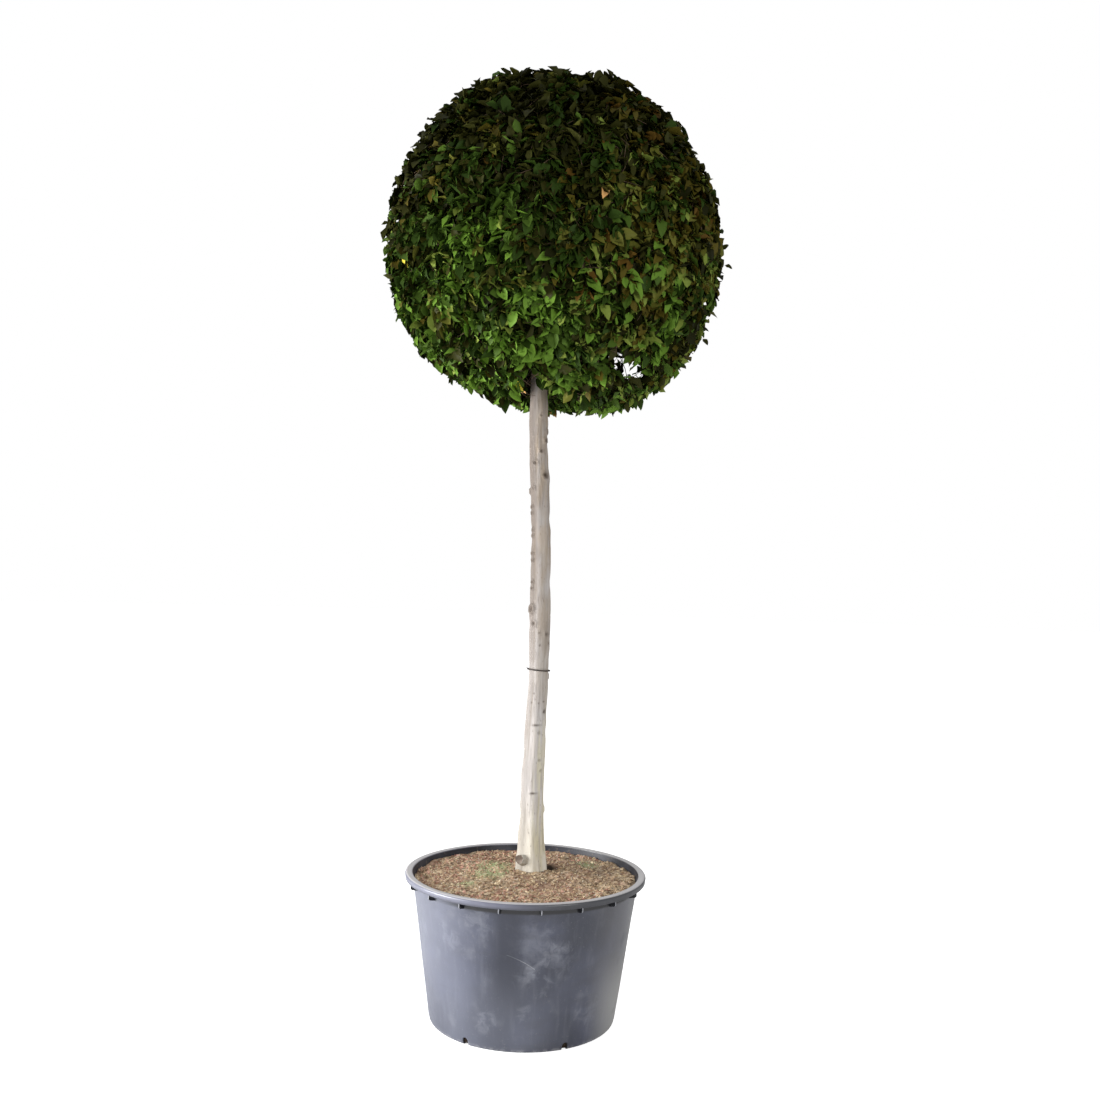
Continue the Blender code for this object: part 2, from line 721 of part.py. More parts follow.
def leaf_mesh():
    """A leaf of six faces along +X: folded along its rib, with its upper side to +Z and a keel below."""
    wide = LEAF_LENGTH * 0.42
    shape = bmesh.new()
    base = shape.verts.new((0, 0, 0))
    left = shape.verts.new((wide, LEAF_WIDTH / 2, LEAF_FOLD))
    tip = shape.verts.new((LEAF_LENGTH, 0, 0))
    right = shape.verts.new((wide, -LEAF_WIDTH / 2, LEAF_FOLD))
    keel = shape.verts.new((LEAF_LENGTH * 0.28, 0, -LEAF_THICK))
    for corners in ((base, tip, left), (base, right, tip)):
        shape.faces.new(corners)
    for pair in ((base, left), (left, tip), (tip, right), (right, base)):
        shape.faces.new((*pair, keel))
    return mesh_from(shape, "leaf")


def gap_mesh():
    """The cutter that opens the see-through gap in the cores."""
    side, up = frame_along(GAP_ALONG)
    shape = bmesh.new()
    ends = {"radius1": GAP_RADIUS, "radius2": GAP_RADIUS, "depth": 1.4}
    bmesh.ops.create_cone(shape, cap_ends=True, segments=10, **ends)
    turn = Matrix((side, up, GAP_ALONG)).transposed().to_4x4()
    bmesh.ops.transform(shape, matrix=Matrix.Translation(GAP_THROUGH) @ turn, verts=shape.verts)
    return mesh_from(shape, "gap")


def spray_roots():
    """Evenly spread directions, kept off the seams, each with the name of the mass whose core it meets."""
    half = math.pi / len(MASS_NAMES)
    for i in range(SPRAYS):
        polar = math.acos(1 - 2 * (i + 0.5) / SPRAYS)
        azimuth = i * GOLDEN_ANGLE
        name = mass_at(on_crown(polar, azimuth, 1))
        if name == "top":
            polar = min(polar, TOP_POLAR - SEAM_CLEAR / CROWN_RADIUS)
        else:
            index = MASS_NAMES.index(name)
            most = half - SEAM_CLEAR / (CROWN_RADIUS * math.sin(polar))
            turn = turn_from(azimuth, mass_azimuth(index))
            azimuth = mass_azimuth(index) + max(-most, min(most, turn))
            polar = max(polar, TOP_POLAR + SEAM_CLEAR / CROWN_RADIUS)
            if polar > math.radians(CORE_ENDS[index] - 3):
                continue
        yield (on_crown(polar, azimuth, 1) - CROWN_CENTRE).normalized(), name


def over_crown(out, across, distance, share):
    """The point that is a distance over the crown from a direction, at a share of the crown's reach."""
    turn = distance / CROWN_RADIUS
    direction = out * math.cos(turn) + across * math.sin(turn)
    return CROWN_CENTRE + direction * reach(direction) * share


def spray_path(out, draw):
    """A twig's root, bend and tip: it leaves the core, then follows the outline, at the sides downwards."""
    side, up = frame_along(out)
    turn = draw.uniform(0, math.tau)
    down = Vector((0, 0, -1)) + out * out.z
    across = side * math.cos(turn) + up * math.sin(turn) + down * SPRAY_DROOP
    across = (across - out * out.dot(across)).normalized()
    distances = (0, SPRAY_LENGTH * SPRAY_BEND, SPRAY_LENGTH)
    return [over_crown(out, across, away, share) for away, share in zip(distances, SPRAY_HEIGHTS)]


def leaf_matrix(base, along, face, length):
    """Puts a leaf's base at a point, its tip along one direction and its upper face towards another."""
    across = face.cross(along).normalized()
    upper = along.cross(across).normalized()
    turn = Matrix((along, across, upper)).transposed().to_4x4()
    return Matrix.Translation(base) @ turn @ Matrix.Scale(length / LEAF_LENGTH, 4)


def spray_leaves(path, draw):
    """Alternate leaves on both sides of the twig and one at its tip. Each has several fits, as matrices."""
    root, elbow, tip = path
    side = draw.choice((-1, 1))
    for share in (*LEAVES_UP_TWIG, 1.0):
        base = elbow.lerp(tip, (share - SPRAY_BEND) / (1 - SPRAY_BEND))
        out = (base - CROWN_CENTRE).normalized()
        along = (tip - elbow).normalized()
        across = out.cross(along).normalized()
        widest = LEAF_SPREAD * draw.uniform(0.8, 1.2) * side * (share < 1.0)
        length = LEAF_LENGTH * draw.uniform(0.85, 1.08)
        rise = out * draw.uniform(-0.03, 0.16)
        face = out - along * LEAF_TILT * (share < 1.0) + across * draw.uniform(-0.12, 0.12)
        fits = []
        for spread_share, size in LEAF_FITS:
            spread = widest * spread_share
            heading = (along * math.cos(spread) + across * math.sin(spread) + rise).normalized()
            sunk = base - heading * (LEAF_SUNK if share < 1.0 else END_LEAF_SUNK)
            fits.append(leaf_matrix(sunk, heading, face, length * size))
        yield fits
        side = -side


def tree_of(mesh, matrix):
    """A search tree of a mesh's faces where the matrix puts it, and the middle of its points."""
    corners = [matrix @ vertex.co for vertex in mesh.vertices]
    middle = sum(corners, Vector()) / len(corners)
    return middle, BVHTree.FromPolygons(corners, [face.vertices[:] for face in mesh.polygons])


def crosses(tree, others):
    middle, faces = tree
    return any((middle - other).length < SPRAY_LENGTH and faces.overlap(there) for other, there in others)


def kept_leaves(leaf, path, name, draw, grown):
    """The first fit of each leaf of a spray that keeps to the mass's space and crosses nothing."""
    kept = []
    for fits in spray_leaves(path, draw):
        for placed in fits:
            if not all(in_space(placed @ vertex.co, name) for vertex in leaf.vertices):
                continue
            tree = tree_of(leaf, placed)
            if not crosses(tree, grown) and not crosses(tree, [k[1] for k in kept]):
                kept.append((placed, tree))
                break
    return kept


def make_sprays(collections, finish):
    """Grows the sprays: each is the best of several turns, and goes into the collection of its mass."""
    draw = random.Random(7)
    leaf = leaf_mesh()
    leaf.materials.append(finish)
    grown = []
    for i, (out, name) in enumerate(spray_roots()):
        best_twig, best_leaves = None, []
        for _ in range(SPRAY_TRIES):
            path = spray_path(out, draw)
            leaves = kept_leaves(leaf, path, name, draw, grown)
            if len(leaves) <= len(best_leaves) or not all(in_space(point, name) for point in path):
                continue
            twig = limb(path, TWIG_RADII, 3, "twig")
            if not crosses(tree_of(twig, Matrix()), grown):
                best_twig, best_leaves = twig, leaves
        if not best_leaves:
            continue
        grown.append(tree_of(best_twig, Matrix()))
        add_object(f"twig_{i}", best_twig, finish, collections[name])
        for j, (placed, tree) in enumerate(best_leaves):
            grown.append(tree)
            piece = add_object(f"leaf_{i}_{j}", leaf, None, collections[name])
            piece.matrix_world = placed


def make_stem(name, finish, collection):
    """The short stem of a mass, which carries on from the tip of its bough into its core."""
    points = bough_points(name)
    along = (points[-1] - points[-2]).normalized()
    ends = [points[-1] + along * TOUCH, points[-1] + along * STEM_LENGTH * 1.6]
    mesh = limb(ends, [BOUGH_TIP_RADIUS, BOUGH_TIP_RADIUS * 0.9], BOUGH_SIDES, "stem")
    add_object(f"stem_{name}", mesh, finish, collection)


def fuse_mass(mass, pieces):
    """Fuses a mass's stem, twigs and leaves to its core. A leaf whose joint comes out torn is left off."""
    torn = [None]
    while torn:
        fused = joined_mesh(mass, "UNION", pieces, "MANIFOLD")
        keep_outer_skin(fused)
        torn = torn_places(fused)
        trees = {piece: tree_of(piece.data, piece.matrix_world)[1] for piece in pieces.objects if torn}
        leaves = {piece: tree for piece, tree in trees.items() if piece.name.startswith("leaf")}
        at_fault = {min(leaves, key=lambda leaf: leaves[leaf].find_nearest(place)[3]) for place in torn}
        for leaf in at_fault:
            bpy.data.objects.remove(leaf, do_unlink=True)
    mass.data = fused
    remove_collection(pieces)


def make_foliage(finish):
    masses = {}
    collections = {}
    for name in (*MASS_NAMES, "top"):
        core = top_core() if name == "top" else side_core(name)
        masses[name] = add_object(f"foliage_{name}", core, finish)
        if name in ("right", "back_right"):
            gap = new_collection("gap")
            add_object("gap", gap_mesh(), None, gap)
            fuse(masses[name], "DIFFERENCE", gap)
        collections[name] = new_collection(f"pieces_{name}")
        make_stem(name, finish, collections[name])
    make_sprays(collections, finish)
    for name, mass in masses.items():
        fuse_mass(mass, collections[name])


# ---- the whole plant ------------------------------------------------------------------------------------


def main():
    clear_scene()
    plastic = material("pot_plastic", (0.165, 0.180, 0.220), 0.45)
    mix = material("potting_mix", (0.230, 0.155, 0.100), 0.95)
    bark = material("bark", (0.520, 0.470, 0.410), 0.80)
    wire = material("tie_wire", (0.030, 0.030, 0.028), 0.50)
    leaves = material("leaves", (0.045, 0.120, 0.020), 0.50)
    make_pot(plastic)
    make_mix(mix)
    trunk = make_trunk(bark)
    make_tie(wire)
    for name in (*MASS_NAMES, "top"):
        make_bough(name, trunk, bark)
    make_foliage(leaves)


main()
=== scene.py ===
"""The looks of a clipped ball of leaves on a tall clear stem, growing in a round nursery pot.

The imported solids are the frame. Each is replaced here by a finer piece of the same size: a smooth pot
with its webs, potting mix with bark chips and moss, a fluted trunk with scars, and boughs that branch
into twigs and life-size leaves. Everything is in metres, +Z is up, and the front faces -Y.
"""

import json
import math
from itertools import product

import bmesh
import bpy
import numpy as np
from mathutils import Matrix, Vector

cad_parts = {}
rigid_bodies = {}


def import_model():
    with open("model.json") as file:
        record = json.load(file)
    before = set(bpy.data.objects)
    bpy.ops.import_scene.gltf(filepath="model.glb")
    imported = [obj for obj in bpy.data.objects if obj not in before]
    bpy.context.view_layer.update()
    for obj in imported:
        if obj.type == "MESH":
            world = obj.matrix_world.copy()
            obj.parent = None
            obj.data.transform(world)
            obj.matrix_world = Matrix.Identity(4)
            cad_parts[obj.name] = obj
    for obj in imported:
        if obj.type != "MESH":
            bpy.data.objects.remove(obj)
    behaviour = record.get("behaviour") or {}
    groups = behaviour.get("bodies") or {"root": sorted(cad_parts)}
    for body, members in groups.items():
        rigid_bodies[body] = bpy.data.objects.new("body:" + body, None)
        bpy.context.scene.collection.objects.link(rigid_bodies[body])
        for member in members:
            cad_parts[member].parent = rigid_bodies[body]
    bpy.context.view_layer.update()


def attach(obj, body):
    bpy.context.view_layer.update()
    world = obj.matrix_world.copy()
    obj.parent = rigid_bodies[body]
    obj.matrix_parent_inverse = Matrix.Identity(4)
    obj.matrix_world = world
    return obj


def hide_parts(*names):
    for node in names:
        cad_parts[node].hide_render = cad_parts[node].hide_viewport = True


TOUCH = 0.0003  # the gap kept between two pieces that touch

# ---- driving sizes: the pot

POT_HEIGHT = 0.510
POT_FOOT_RADIUS = 0.3275  # outside of the wall, at the ground
POT_WALL_SLOPE = 0.147  # growth of the radius for each metre of height
POT_WALL = 0.005
POT_FLOOR = 0.007
FOOT_ROUND = 0.009
LIP_RADIUS = 0.4275
LIP_DEPTH = 0.021
LIP_ROUND = 0.008
POT_STEPS = 192
POT_WAVE = 0.0012  # how far the thin wall bulges in and out
GUSSETS = 19
GUSSET_DROP = 0.022
GUSSET_THICK = 0.004
GUSSET_SHORT = 0.005  # from a gusset's end to the lip's edge
GUSSET_END = 0.017  # height of a gusset's end below the lip
GUSSET_SUNK = 0.0025
GUSSET_TURN = math.radians(-10.6)  # from the front to the first one
DRAIN_SLOTS = 6
DRAIN_WIDTH = 0.020
DRAIN_HEIGHT = 0.026
DRAIN_DEPTH = 0.018
DRAIN_TURN = math.radians(27)
POT_SMEARS = (  # dry smears on the wall: centre, radius, how much they are broken up, and how strong they are
    ((0.045, -0.385, 0.370), 0.110, 0.34, 0.240),
    ((0.110, -0.380, 0.310), 0.075, 0.26, 0.216),
    ((0.020, -0.372, 0.255), 0.040, 0.16, 0.264),
    ((0.075, -0.368, 0.215), 0.036, 0.14, 0.216),
    ((0.010, -0.350, 0.140), 0.034, 0.16, 0.204),
    ((-0.110, -0.340, 0.105), 0.050, 0.20, 0.240),
    ((-0.240, -0.310, 0.340), 0.055, 0.22, 0.216),
    ((0.235, -0.270, 0.110), 0.060, 0.24, 0.216),
    ((-0.140, -0.370, 0.440), 0.060, 0.26, 0.180),
)
SCRATCH = ((-0.0485, 0.331), (0.044, 0.285), 0.005, 0.0008)  # both ends as (x, z), its sag and half its width

# ---- driving sizes: potting mix

MIX_BELOW_RIM = 0.022  # at the wall
GROUND = 0.502  # level of the potting mix at the trunk
MIX_SLOPE_RADIUS = 0.36
MIX_RELIEF = 0.005
MIX_RINGS = 80
MIX_STEPS = 220
CRUMB_RELIEF = 0.0022
# Round places on top: x, y and radius.
MOSS_SPOTS = ((-0.121, 0.080, 0.060), (-0.121, -0.020, 0.060), (-0.20, -0.14, 0.030), (0.22, 0.16, 0.040))
WET_SPOTS = ((0.17, 0.20, 0.10), (0.27, 0.07, 0.06), (-0.25, 0.12, 0.06), (0.06, -0.12, 0.05))
HOLLOW = (0.082, 0.090, 0.032)  # the dip beside the trunk's foot, darkened with painted shade
HOLLOW_DEPTH = 0.014

# ---- driving sizes: trunk and its tie

TRUNK_FOOT = Vector((0.017, 0.050, GROUND + TOUCH))
TRUNK_FORK = 2.420  # height of the trunk's top
TRUNK_SWAY = ((0.0, 0.017), (0.16, 0.0155), (0.42, 0.0265), (0.68, 0.0155), (0.82, 0.0005), (1.0, -0.004))
TRUNK_RADIUS_FOOT = 0.0365
TRUNK_RADIUS_FORK = 0.0315
FLARE = 0.0185
FLARE_LENGTH = 0.16
FORK_SWELL = 0.006
FLUTES = 5
FLUTE_DEPTH = 0.035  # as a share of the radius
TRUNK_SIDES = 128
TRUNK_RINGS = 620
FURROW_DEPTH = 0.0006
KNUCKLES = 0.0040  # how far the trunk swells unevenly
GRAIN_DEPTH = 0.0004

# Each scar: height, angle from the front in degrees, radius, how much longer up than across,
# the height of its rim, the depth of its hollow, and how dark it is.
SCARS = (
    (0.720, 90, 0.008, 1.2, 0.004, 0.000, 0.5),
    (0.781, 4, 0.015, 0.3, 0.001, 0.003, 0.9),
    (0.861, 45, 0.008, 1, 0.002, 0.002, 0.4),
    (0.899, 32, 0.008, 0.8, 0.002, 0.002, 0.5),
    (0.997, 20, 0.007, 1, 0.001, 0.002, 0.4),
    (1.025, 5, 0.018, 0.25, 0.001, 0.003, 0.8),
    (1.073, 56, 0.010, 1.1, 0.002, 0.003, 0.9),
    (1.104, 11, 0.004, 1, 0.000, 0.002, 0.7),
    (1.105, -38, 0.004, 1, 0.000, 0.002, 0.7),
    (1.109, 46, 0.005, 1, 0.001, 0.002, 0.7),
    (1.117, -11, 0.004, 1, 0.000, 0.002, 0.6),
    (1.138, -22, 0.004, 1, 0.000, 0.002, 0.6),
    (1.199, 90, 0.007, 1.2, 0.004, 0.000, 0.5),
    (1.312, 2, 0.006, 0.8, 0.001, 0.002, 0.5),
    (1.320, 58, 0.007, 1, 0.002, 0.002, 0.6),
    (1.353, 39, 0.008, 1, 0.002, 0.002, 0.6),
    (1.357, -4, 0.006, 0.7, 0.001, 0.002, 0.5),
    (1.390, -40, 0.012, 1, 0.003, 0.003, 0.6),
    (1.443, -55, 0.013, 1.2, 0.006, 0.000, 0.7),
    (1.518, -56, 0.008, 1, 0.004, 0.001, 0.7),
    (1.540, -55, 0.008, 1, 0.004, 0.001, 0.7),
    (1.619, -61, 0.008, 1, 0.004, 0.001, 0.7),
    (1.644, -61, 0.008, 1, 0.004, 0.001, 0.7),
    (1.708, -61, 0.008, 1, 0.004, 0.001, 0.7),
    (1.729, -61, 0.008, 1, 0.004, 0.001, 0.7),
    (1.790, -63, 0.008, 1, 0.004, 0.001, 0.7),
    (1.812, -63, 0.008, 1, 0.004, 0.001, 0.7),
    (1.871, -90, 0.007, 1.3, 0.006, -0.004, 0.2),
    (1.881, -43, 0.008, 1, 0.003, 0.001, 0.4),
    (1.929, 41, 0.014, 1.1, 0.003, 0.006, 1),
    (1.973, -24, 0.011, 0.8, 0.003, 0.003, 0.6),
    (2.016, 17, 0.009, 1, 0.002, 0.002, 0.8),
    (2.055, 52, 0.010, 1, 0.004, 0.000, 0.9),
    (2.087, 64, 0.009, 1.2, 0.004, -0.002, 0.5),
    (2.146, 18, 0.007, 1, 0.002, 0.002, 0.5),
)
# A sawn branch at the foot: height, angle from the front in degrees, radius, and how far it stands out.
STUB = (0.541, -40, 0.0185, 0.014)
STUB_SIDES = 28

TIE_HEIGHT = 1.222
TIE_TILT = math.radians(5)
TIE_KNOT = math.radians(270)  # from the front towards the right
TIE_WIRE = 0.0016
TIE_TAIL = 0.007
TIE_STEPS = 240
TIE_SIDES = 6
KNOT_SIDES = 8
TIE_TWISTS = 34

# ---- driving sizes: crown

CROWN_CENTRE = np.array((0.038, 0.030, 2.756))
CROWN_RADIUS = 0.612
CROWN_HALF_HEIGHT = 0.594
CROWN_SQUARENESS = 2.2  # exponent of the outline; 2 is an ellipse
SEEN_FROM_BELOW = (0.31, 0.14)  # how far the outline's top leans to the front, and how near all of it is
# Where the shears left it fuller or thinner: the angle from its top round to the right, as seen from
# the front, how wide that place is, both in degrees, and how much more it reaches there, as a share.
CROWN_SWELLS = (
    (20, 7, 0.014),
    (62, 14, -0.016),
    (112, 18, 0.032),
    (150, 15, 0.044),
    (175, 9, -0.040),
    (210, 16, -0.038),
    (279, 10, 0.028),
    (335, 15, 0.040),
)
CORE_IN = 0.83
TOP_POLAR = math.radians(46)  # the top mass ends here, and the side masses begin
OPEN_FRONT = math.radians(166)  # no leaf grows past these, so the underside is open round the trunk
OPEN_BACK = math.radians(172)
TRUNK_CLEAR = 0.035
# No leaf hangs lower than this straight in front of the trunk, at its left and at its right.
TRUNK_SHOWN = (2.262, 2.205)
SHOWN_HALF_WIDTH = 0.048
# See-through places: a point on a line of sight through the crown, and half the width and height.
SKY_HOLES = (
    ((0.258, 0.000, 2.362), 0.024, 0.021),
    ((0.290, 0.000, 2.344), 0.033, 0.031),
    ((0.322, 0.000, 2.330), 0.024, 0.026),
    ((0.350, 0.000, 2.316), 0.026, 0.019),
    ((-0.515, 0.030, 2.985), 0.014, 0.010),
    ((-0.535, 0.030, 2.858), 0.010, 0.016),
    ((0.592, 0.030, 2.600), 0.010, 0.012),
    ((-0.268, 0.000, 2.312), 0.012, 0.014),
    ((-0.150, 0.000, 2.243), 0.010, 0.022),
    ((0.138, 0.000, 2.232), 0.010, 0.018),
    ((0.196, 0.000, 2.236), 0.009, 0.022),
    ((0.590, 0.030, 2.578), 0.013, 0.013),
)
SKY_FRET = 42  # how finely leaves break the edges of these up
STRAY_LEAVES = 0.16  # share of the leaves that hang across a see-through place all the same
STRAY_TWIGS = 0.10  # and of the twigs
MASS_NAMES = ("front", "right", "back_right", "back_left", "left")
BOUGH_FOOT_RADIUS = 0.0150
LEADER_FOOT_RADIUS = 0.0240
BOUGH_TIP_RADIUS = 0.0090
BOUGH_FORKS = (0.390, 0.425, 0.372, 0.432, 0.408)  # how far below the crown's centre each side bough leaves
BOUGH_END_POLAR = math.radians(98)
BOUGH_SAG = 0.075
STEM_LENGTH = 0.035
BOUGH_STEPS = 28
BOUGH_SIDES = 14
BRANCHES = 96
BRANCH_SHARE = 0.74  # the branches end at this share of the crown's reach
BRANCH_STEPS = 9
BRANCH_SIDES = 7
BRANCH_STRAY = 0.018  # how far they wander from their curves
BRANCH_DROP = 0.50  # no branch ends further than this below the crown's centre
BRANCH_RADII = (0.0075, 0.0038)  # at the foot and at the tip
TWIG_RADII = (0.0030, 0.0018)
TWIG_STEPS = 4
TWIG_SIDES = 4
SPRAY_RADII = (0.0018, 0.0008)

SPRAYS = 4500
SPRAY_LENGTH = 0.135
SPRAY_LAYERS = ((0.86, 0.930, 0.955), (0.82, 0.900, 0.925), (0.76, 0.850, 0.885))  # root, bend and tip shares
SPRAY_BEND = 0.30
SPRAY_DROOP = 0.9  # how strongly the twigs at the sides turn downwards
SPRAY_STEPS = 5
SPRAY_SIDES = 3
LEAF_LENGTH = 0.060
LEAF_WIDTH = 0.0335
LEAF_FOLD = 0.30  # how far the edges stand above the rib, as a share of the width
LEAF_CURL = 0.20  # how far the tip drops, as a share of the length
LEAF_RIPPLE = 0.045
SHORT_LEAVES = 0.45  # share of the leaves that are made shorter, not laid flatter, where they stand too proud
SHORTENED = 0.82  # share of its length that such a leaf keeps at each of three tries
LEAF_STATIONS = ((0.12, 0.08), (0.24, 0.66), (0.43, 1.0), (0.66, 0.94), (0.86, 0.50))  # along, and half width
LEAVES_UP_TWIG = (0.10, 0.20, 0.31, 0.42, 0.52, 0.62, 0.72, 0.82, 0.91, 1.0)
LEAF_SPREAD = math.radians(56)
LEAF_TILT = 0.30  # how far a leaf's lower edge stands out over the next leaf
LEAF_FLOOR = 0.70
EDGE_SHARE = 0.996  # where the shears cut, as a share of the crown's reach
EDGE_RAGGED = 0.034  # how unevenly the crown was clipped, as a share of its reach
TIP_RAGGED = 0.050  # how far single leaves stand proud of it or fall short
HOLLOW_PLACES = 0.070  # how deep the dark hollows between the tufts are
LEAF_RISE = (0.10, 0.95)  # how steeply the leaves stand out of the crown
LEAF_HANG = 0.35  # how strongly the leaves at the sides hang
LEAF_LEVEL = 0.75  # how much the upper sides turn up instead of out
# Single leaves on a twig of their own: degrees from the top, how far their foot stands out, and their turn.
SPRIGS = (
    (3.5, 1.030, 70),
    (-49.0, 1.020, -75),
    (-48.0, 1.030, -20),
    (-82.0, 0.985, -95),
    (88.0, 0.995, 60),
    (93.0, 1.010, 120),
    (119.0, 0.985, 150),
    (24.0, 0.990, 30),
    (52.0, 0.990, 85),
    (-18.0, 0.995, -40),
)
SPRIG_LEAF = 0.034  # its length
SPRIG_TINT = "leaf_dark_olive"
GOLDEN_ANGLE = math.pi * (3 - math.sqrt(5))
SEED = 11

# Leaf colours, as plain linear base colours: the greens from dark to bright, olive, bronze and red brown,
# and the two of leaves that have turned.
LEAF_TINTS = {
    "leaf_black_olive": (0.0125, 0.0134, 0.0028),
    "leaf_dark_olive": (0.0310, 0.0325, 0.0065),
    "leaf_deep_green": (0.0240, 0.0470, 0.0064),
    "leaf_mid_green": (0.0540, 0.0980, 0.0130),
    "leaf_bright_green": (0.1160, 0.2150, 0.0260),
    "leaf_yellow_green": (0.1720, 0.2250, 0.0400),
    "leaf_olive": (0.1150, 0.1180, 0.0200),
    "leaf_bronze": (0.0780, 0.0640, 0.0090),
    "leaf_red_brown": (0.0960, 0.0540, 0.0100),
    "leaf_yellow": (0.7500, 0.6200, 0.0700),
    "leaf_tan": (0.7000, 0.4000, 0.1500),
}
PLAIN_TINTS = 9  # the first ones, which are dealt out by where a twig is
ODD_LEAVES = 0.30  # share of the leaves whose tint isn't that of their twig
TURNED_WITHIN = 0.014  # how far from its line of sight a turned leaf's middle may be
TURNED_LEAVES = (  # x and z of single leaves that have changed colour, and their tint
    (0.203, 2.759, "leaf_tan"),
    (-0.454, 2.607, "leaf_yellow"),
    (-0.068, 2.204, "leaf_yellow"),
    (-0.058, 2.196, "leaf_tan"),
    (0.133, 2.599, "leaf_yellow_green"),
    (0.006, 2.238, "leaf_yellow_green"),
    (0.076, 2.269, "leaf_yellow_green"),
    (0.163, 2.476, "leaf_bright_green"),
)

# ---- camera and light

VIEW_FROM = Vector((0.054, -3.97, 1.520))
VIEW_PITCH = math.radians(1.976)
VIEW_ROLL = math.radians(1.65)
LENS = 36
SENSOR = 36
SURROUND_LIGHT = 0.48  # what the white surroundings give as light; they look fully white
FLOOR_GLOW = 0.75
FLOOR_RADIUS = 60
KEY_PLACE = (-4.5, -0.95, 1.2)
KEY_SIZE = 3.0
KEY_POWER = 460
FILL_PLACE = (2.6, -3.8, 2.1)
FILL_SIZE = 1.8
FILL_POWER = 80


# ---- helpers: arrays, meshes and node trees


def unit(vectors):
    return vectors / np.linalg.norm(vectors, axis=-1, keepdims=True)


def dot(a, b):
    return np.sum(a * b, axis=-1, keepdims=True)


def smooth_step(low, high, values):
    share = np.clip((values - low) / (high - low), 0, 1)
    return share * share * (3 - 2 * share)


def noise_at(points, seed):
    """Smooth value noise from -1 to 1, on a lattice of unit cells."""
    cell = np.floor(points).astype(np.int64)
    part = points - cell
    part = part * part * (3 - 2 * part)
    total = np.zeros(points.shape[:-1])
    for corner in product((0, 1), repeat=3):
        key = (cell + corner) @ np.array((73856093, 19349663, 83492791)) + seed * 2654435761
        key = (key ^ (key >> 13)) * 1274126177
        value = ((key ^ (key >> 16)) & 0xFFFF) / 32767.5 - 1
        total += value * np.prod(np.where(np.array(corner) == 1, part, 1 - part), axis=-1)
    return total


def layered_noise(points, seed, layers):
    """Noise with finer and weaker noise laid over it."""
    return sum(noise_at(points * 2**k, seed + k) * 0.5**k for k in range(layers))


def add_object(name, mesh):
    item = bpy.data.objects.new(name, mesh)
    bpy.context.scene.collection.objects.link(item)
    return item


def piece_from(name, points, face_sets, finishes, deal=None):
    """A mesh object from arrays: its points, its faces as arrays of corners, and its finishes."""
    sizes = np.concatenate([np.full(len(faces), faces.shape[1]) for faces in face_sets])
    corners = np.concatenate([faces.ravel() for faces in face_sets])
    mesh = bpy.data.meshes.new(name)
    mesh.vertices.add(len(points))
    mesh.vertices.foreach_set("co", np.asarray(points, np.float32).ravel())
    mesh.loops.add(len(corners))
    mesh.loops.foreach_set("vertex_index", corners.astype(np.int32))
    mesh.polygons.add(len(sizes))
    mesh.polygons.foreach_set("loop_start", (np.cumsum(sizes) - sizes).astype(np.int32))
    mesh.polygons.foreach_set("use_smooth", np.full(len(sizes), True))
    for finish in finishes:
        mesh.materials.append(finish)
    if deal is not None:
        mesh.polygons.foreach_set("material_index", deal.astype(np.int32))
    mesh.update(calc_edges=True)
    return add_object(name, mesh)


def store(item, name, values):
    """Keeps a value for each point of a mesh, for its material or its tree to read."""
    layer = item.data.attributes.new(name, "FLOAT", "POINT")
    layer.data.foreach_set("value", np.asarray(values, np.float32).ravel())


def joined(parts):
    """Several (points, face sets) as one."""
    points, merged, start = [], {}, 0
    for spots, face_sets in parts:
        points.append(spots)
        for faces in face_sets:
            merged.setdefault(faces.shape[1], []).append(faces + start)
        start += len(spots)
    return np.concatenate(points), [np.concatenate(faces) for faces in merged.values()]


def tube_grid(index):
    """Quads over rings of points that close on themselves."""
    here, there = index[..., :-1, :], index[..., 1:, :]
    corners = (here, np.roll(here, -1, axis=-1), np.roll(there, -1, axis=-1), there)
    return np.stack(corners, axis=-1).reshape(-1, 4)


def ringed_piece(name, rings, finishes, deal=None):
    """A closed piece over rings of points, from its bottom ring to its top one."""
    rings = np.asarray(rings)
    index = np.arange(rings[..., 0].size).reshape(rings.shape[:2])
    caps = np.stack((index[0, ::-1], index[-1]))
    return piece_from(name, rings.reshape(-1, 3), [tube_grid(index), caps], finishes, deal)


def limbs(paths, radii, sides):
    """Round limbs along many lines at once, closed at both ends, as points and faces."""
    count, steps = paths.shape[:2]
    along = unit(np.gradient(paths, axis=1))
    turns = np.arange(sides) * math.tau / sides
    side = np.eye(3)[np.abs(along[:, 0]).argmin(axis=1)]
    rings = []
    for step in range(steps):
        side = unit(side - along[:, step] * dot(side, along[:, step]))
        up = np.cross(along[:, step], side)
        ring = side[:, None] * np.cos(turns)[:, None] + up[:, None] * np.sin(turns)[:, None]
        rings.append(paths[:, step, None] + ring * radii[:, step, None, None])
    points = np.stack(rings, axis=1).reshape(-1, 3)
    index = np.arange(count * steps * sides).reshape(count, steps, sides)
    ends = np.concatenate((index[:, 0, ::-1], index[:, -1]))
    return points, [tube_grid(index), ends]


def tapers(count, steps, ends):
    return np.tile(np.linspace(ends[0], ends[1], steps), (count, 1))


def bend(start, middle, end, count):
    """Points of quadratic curves that leave start towards middle and arrive at end."""
    share = np.linspace(0, 1, count)[:, None]
    start, middle, end = (np.asarray(spot)[..., None, :] for spot in (start, middle, end))
    return start * (1 - share) ** 2 + middle * 2 * share * (1 - share) + end * share**2


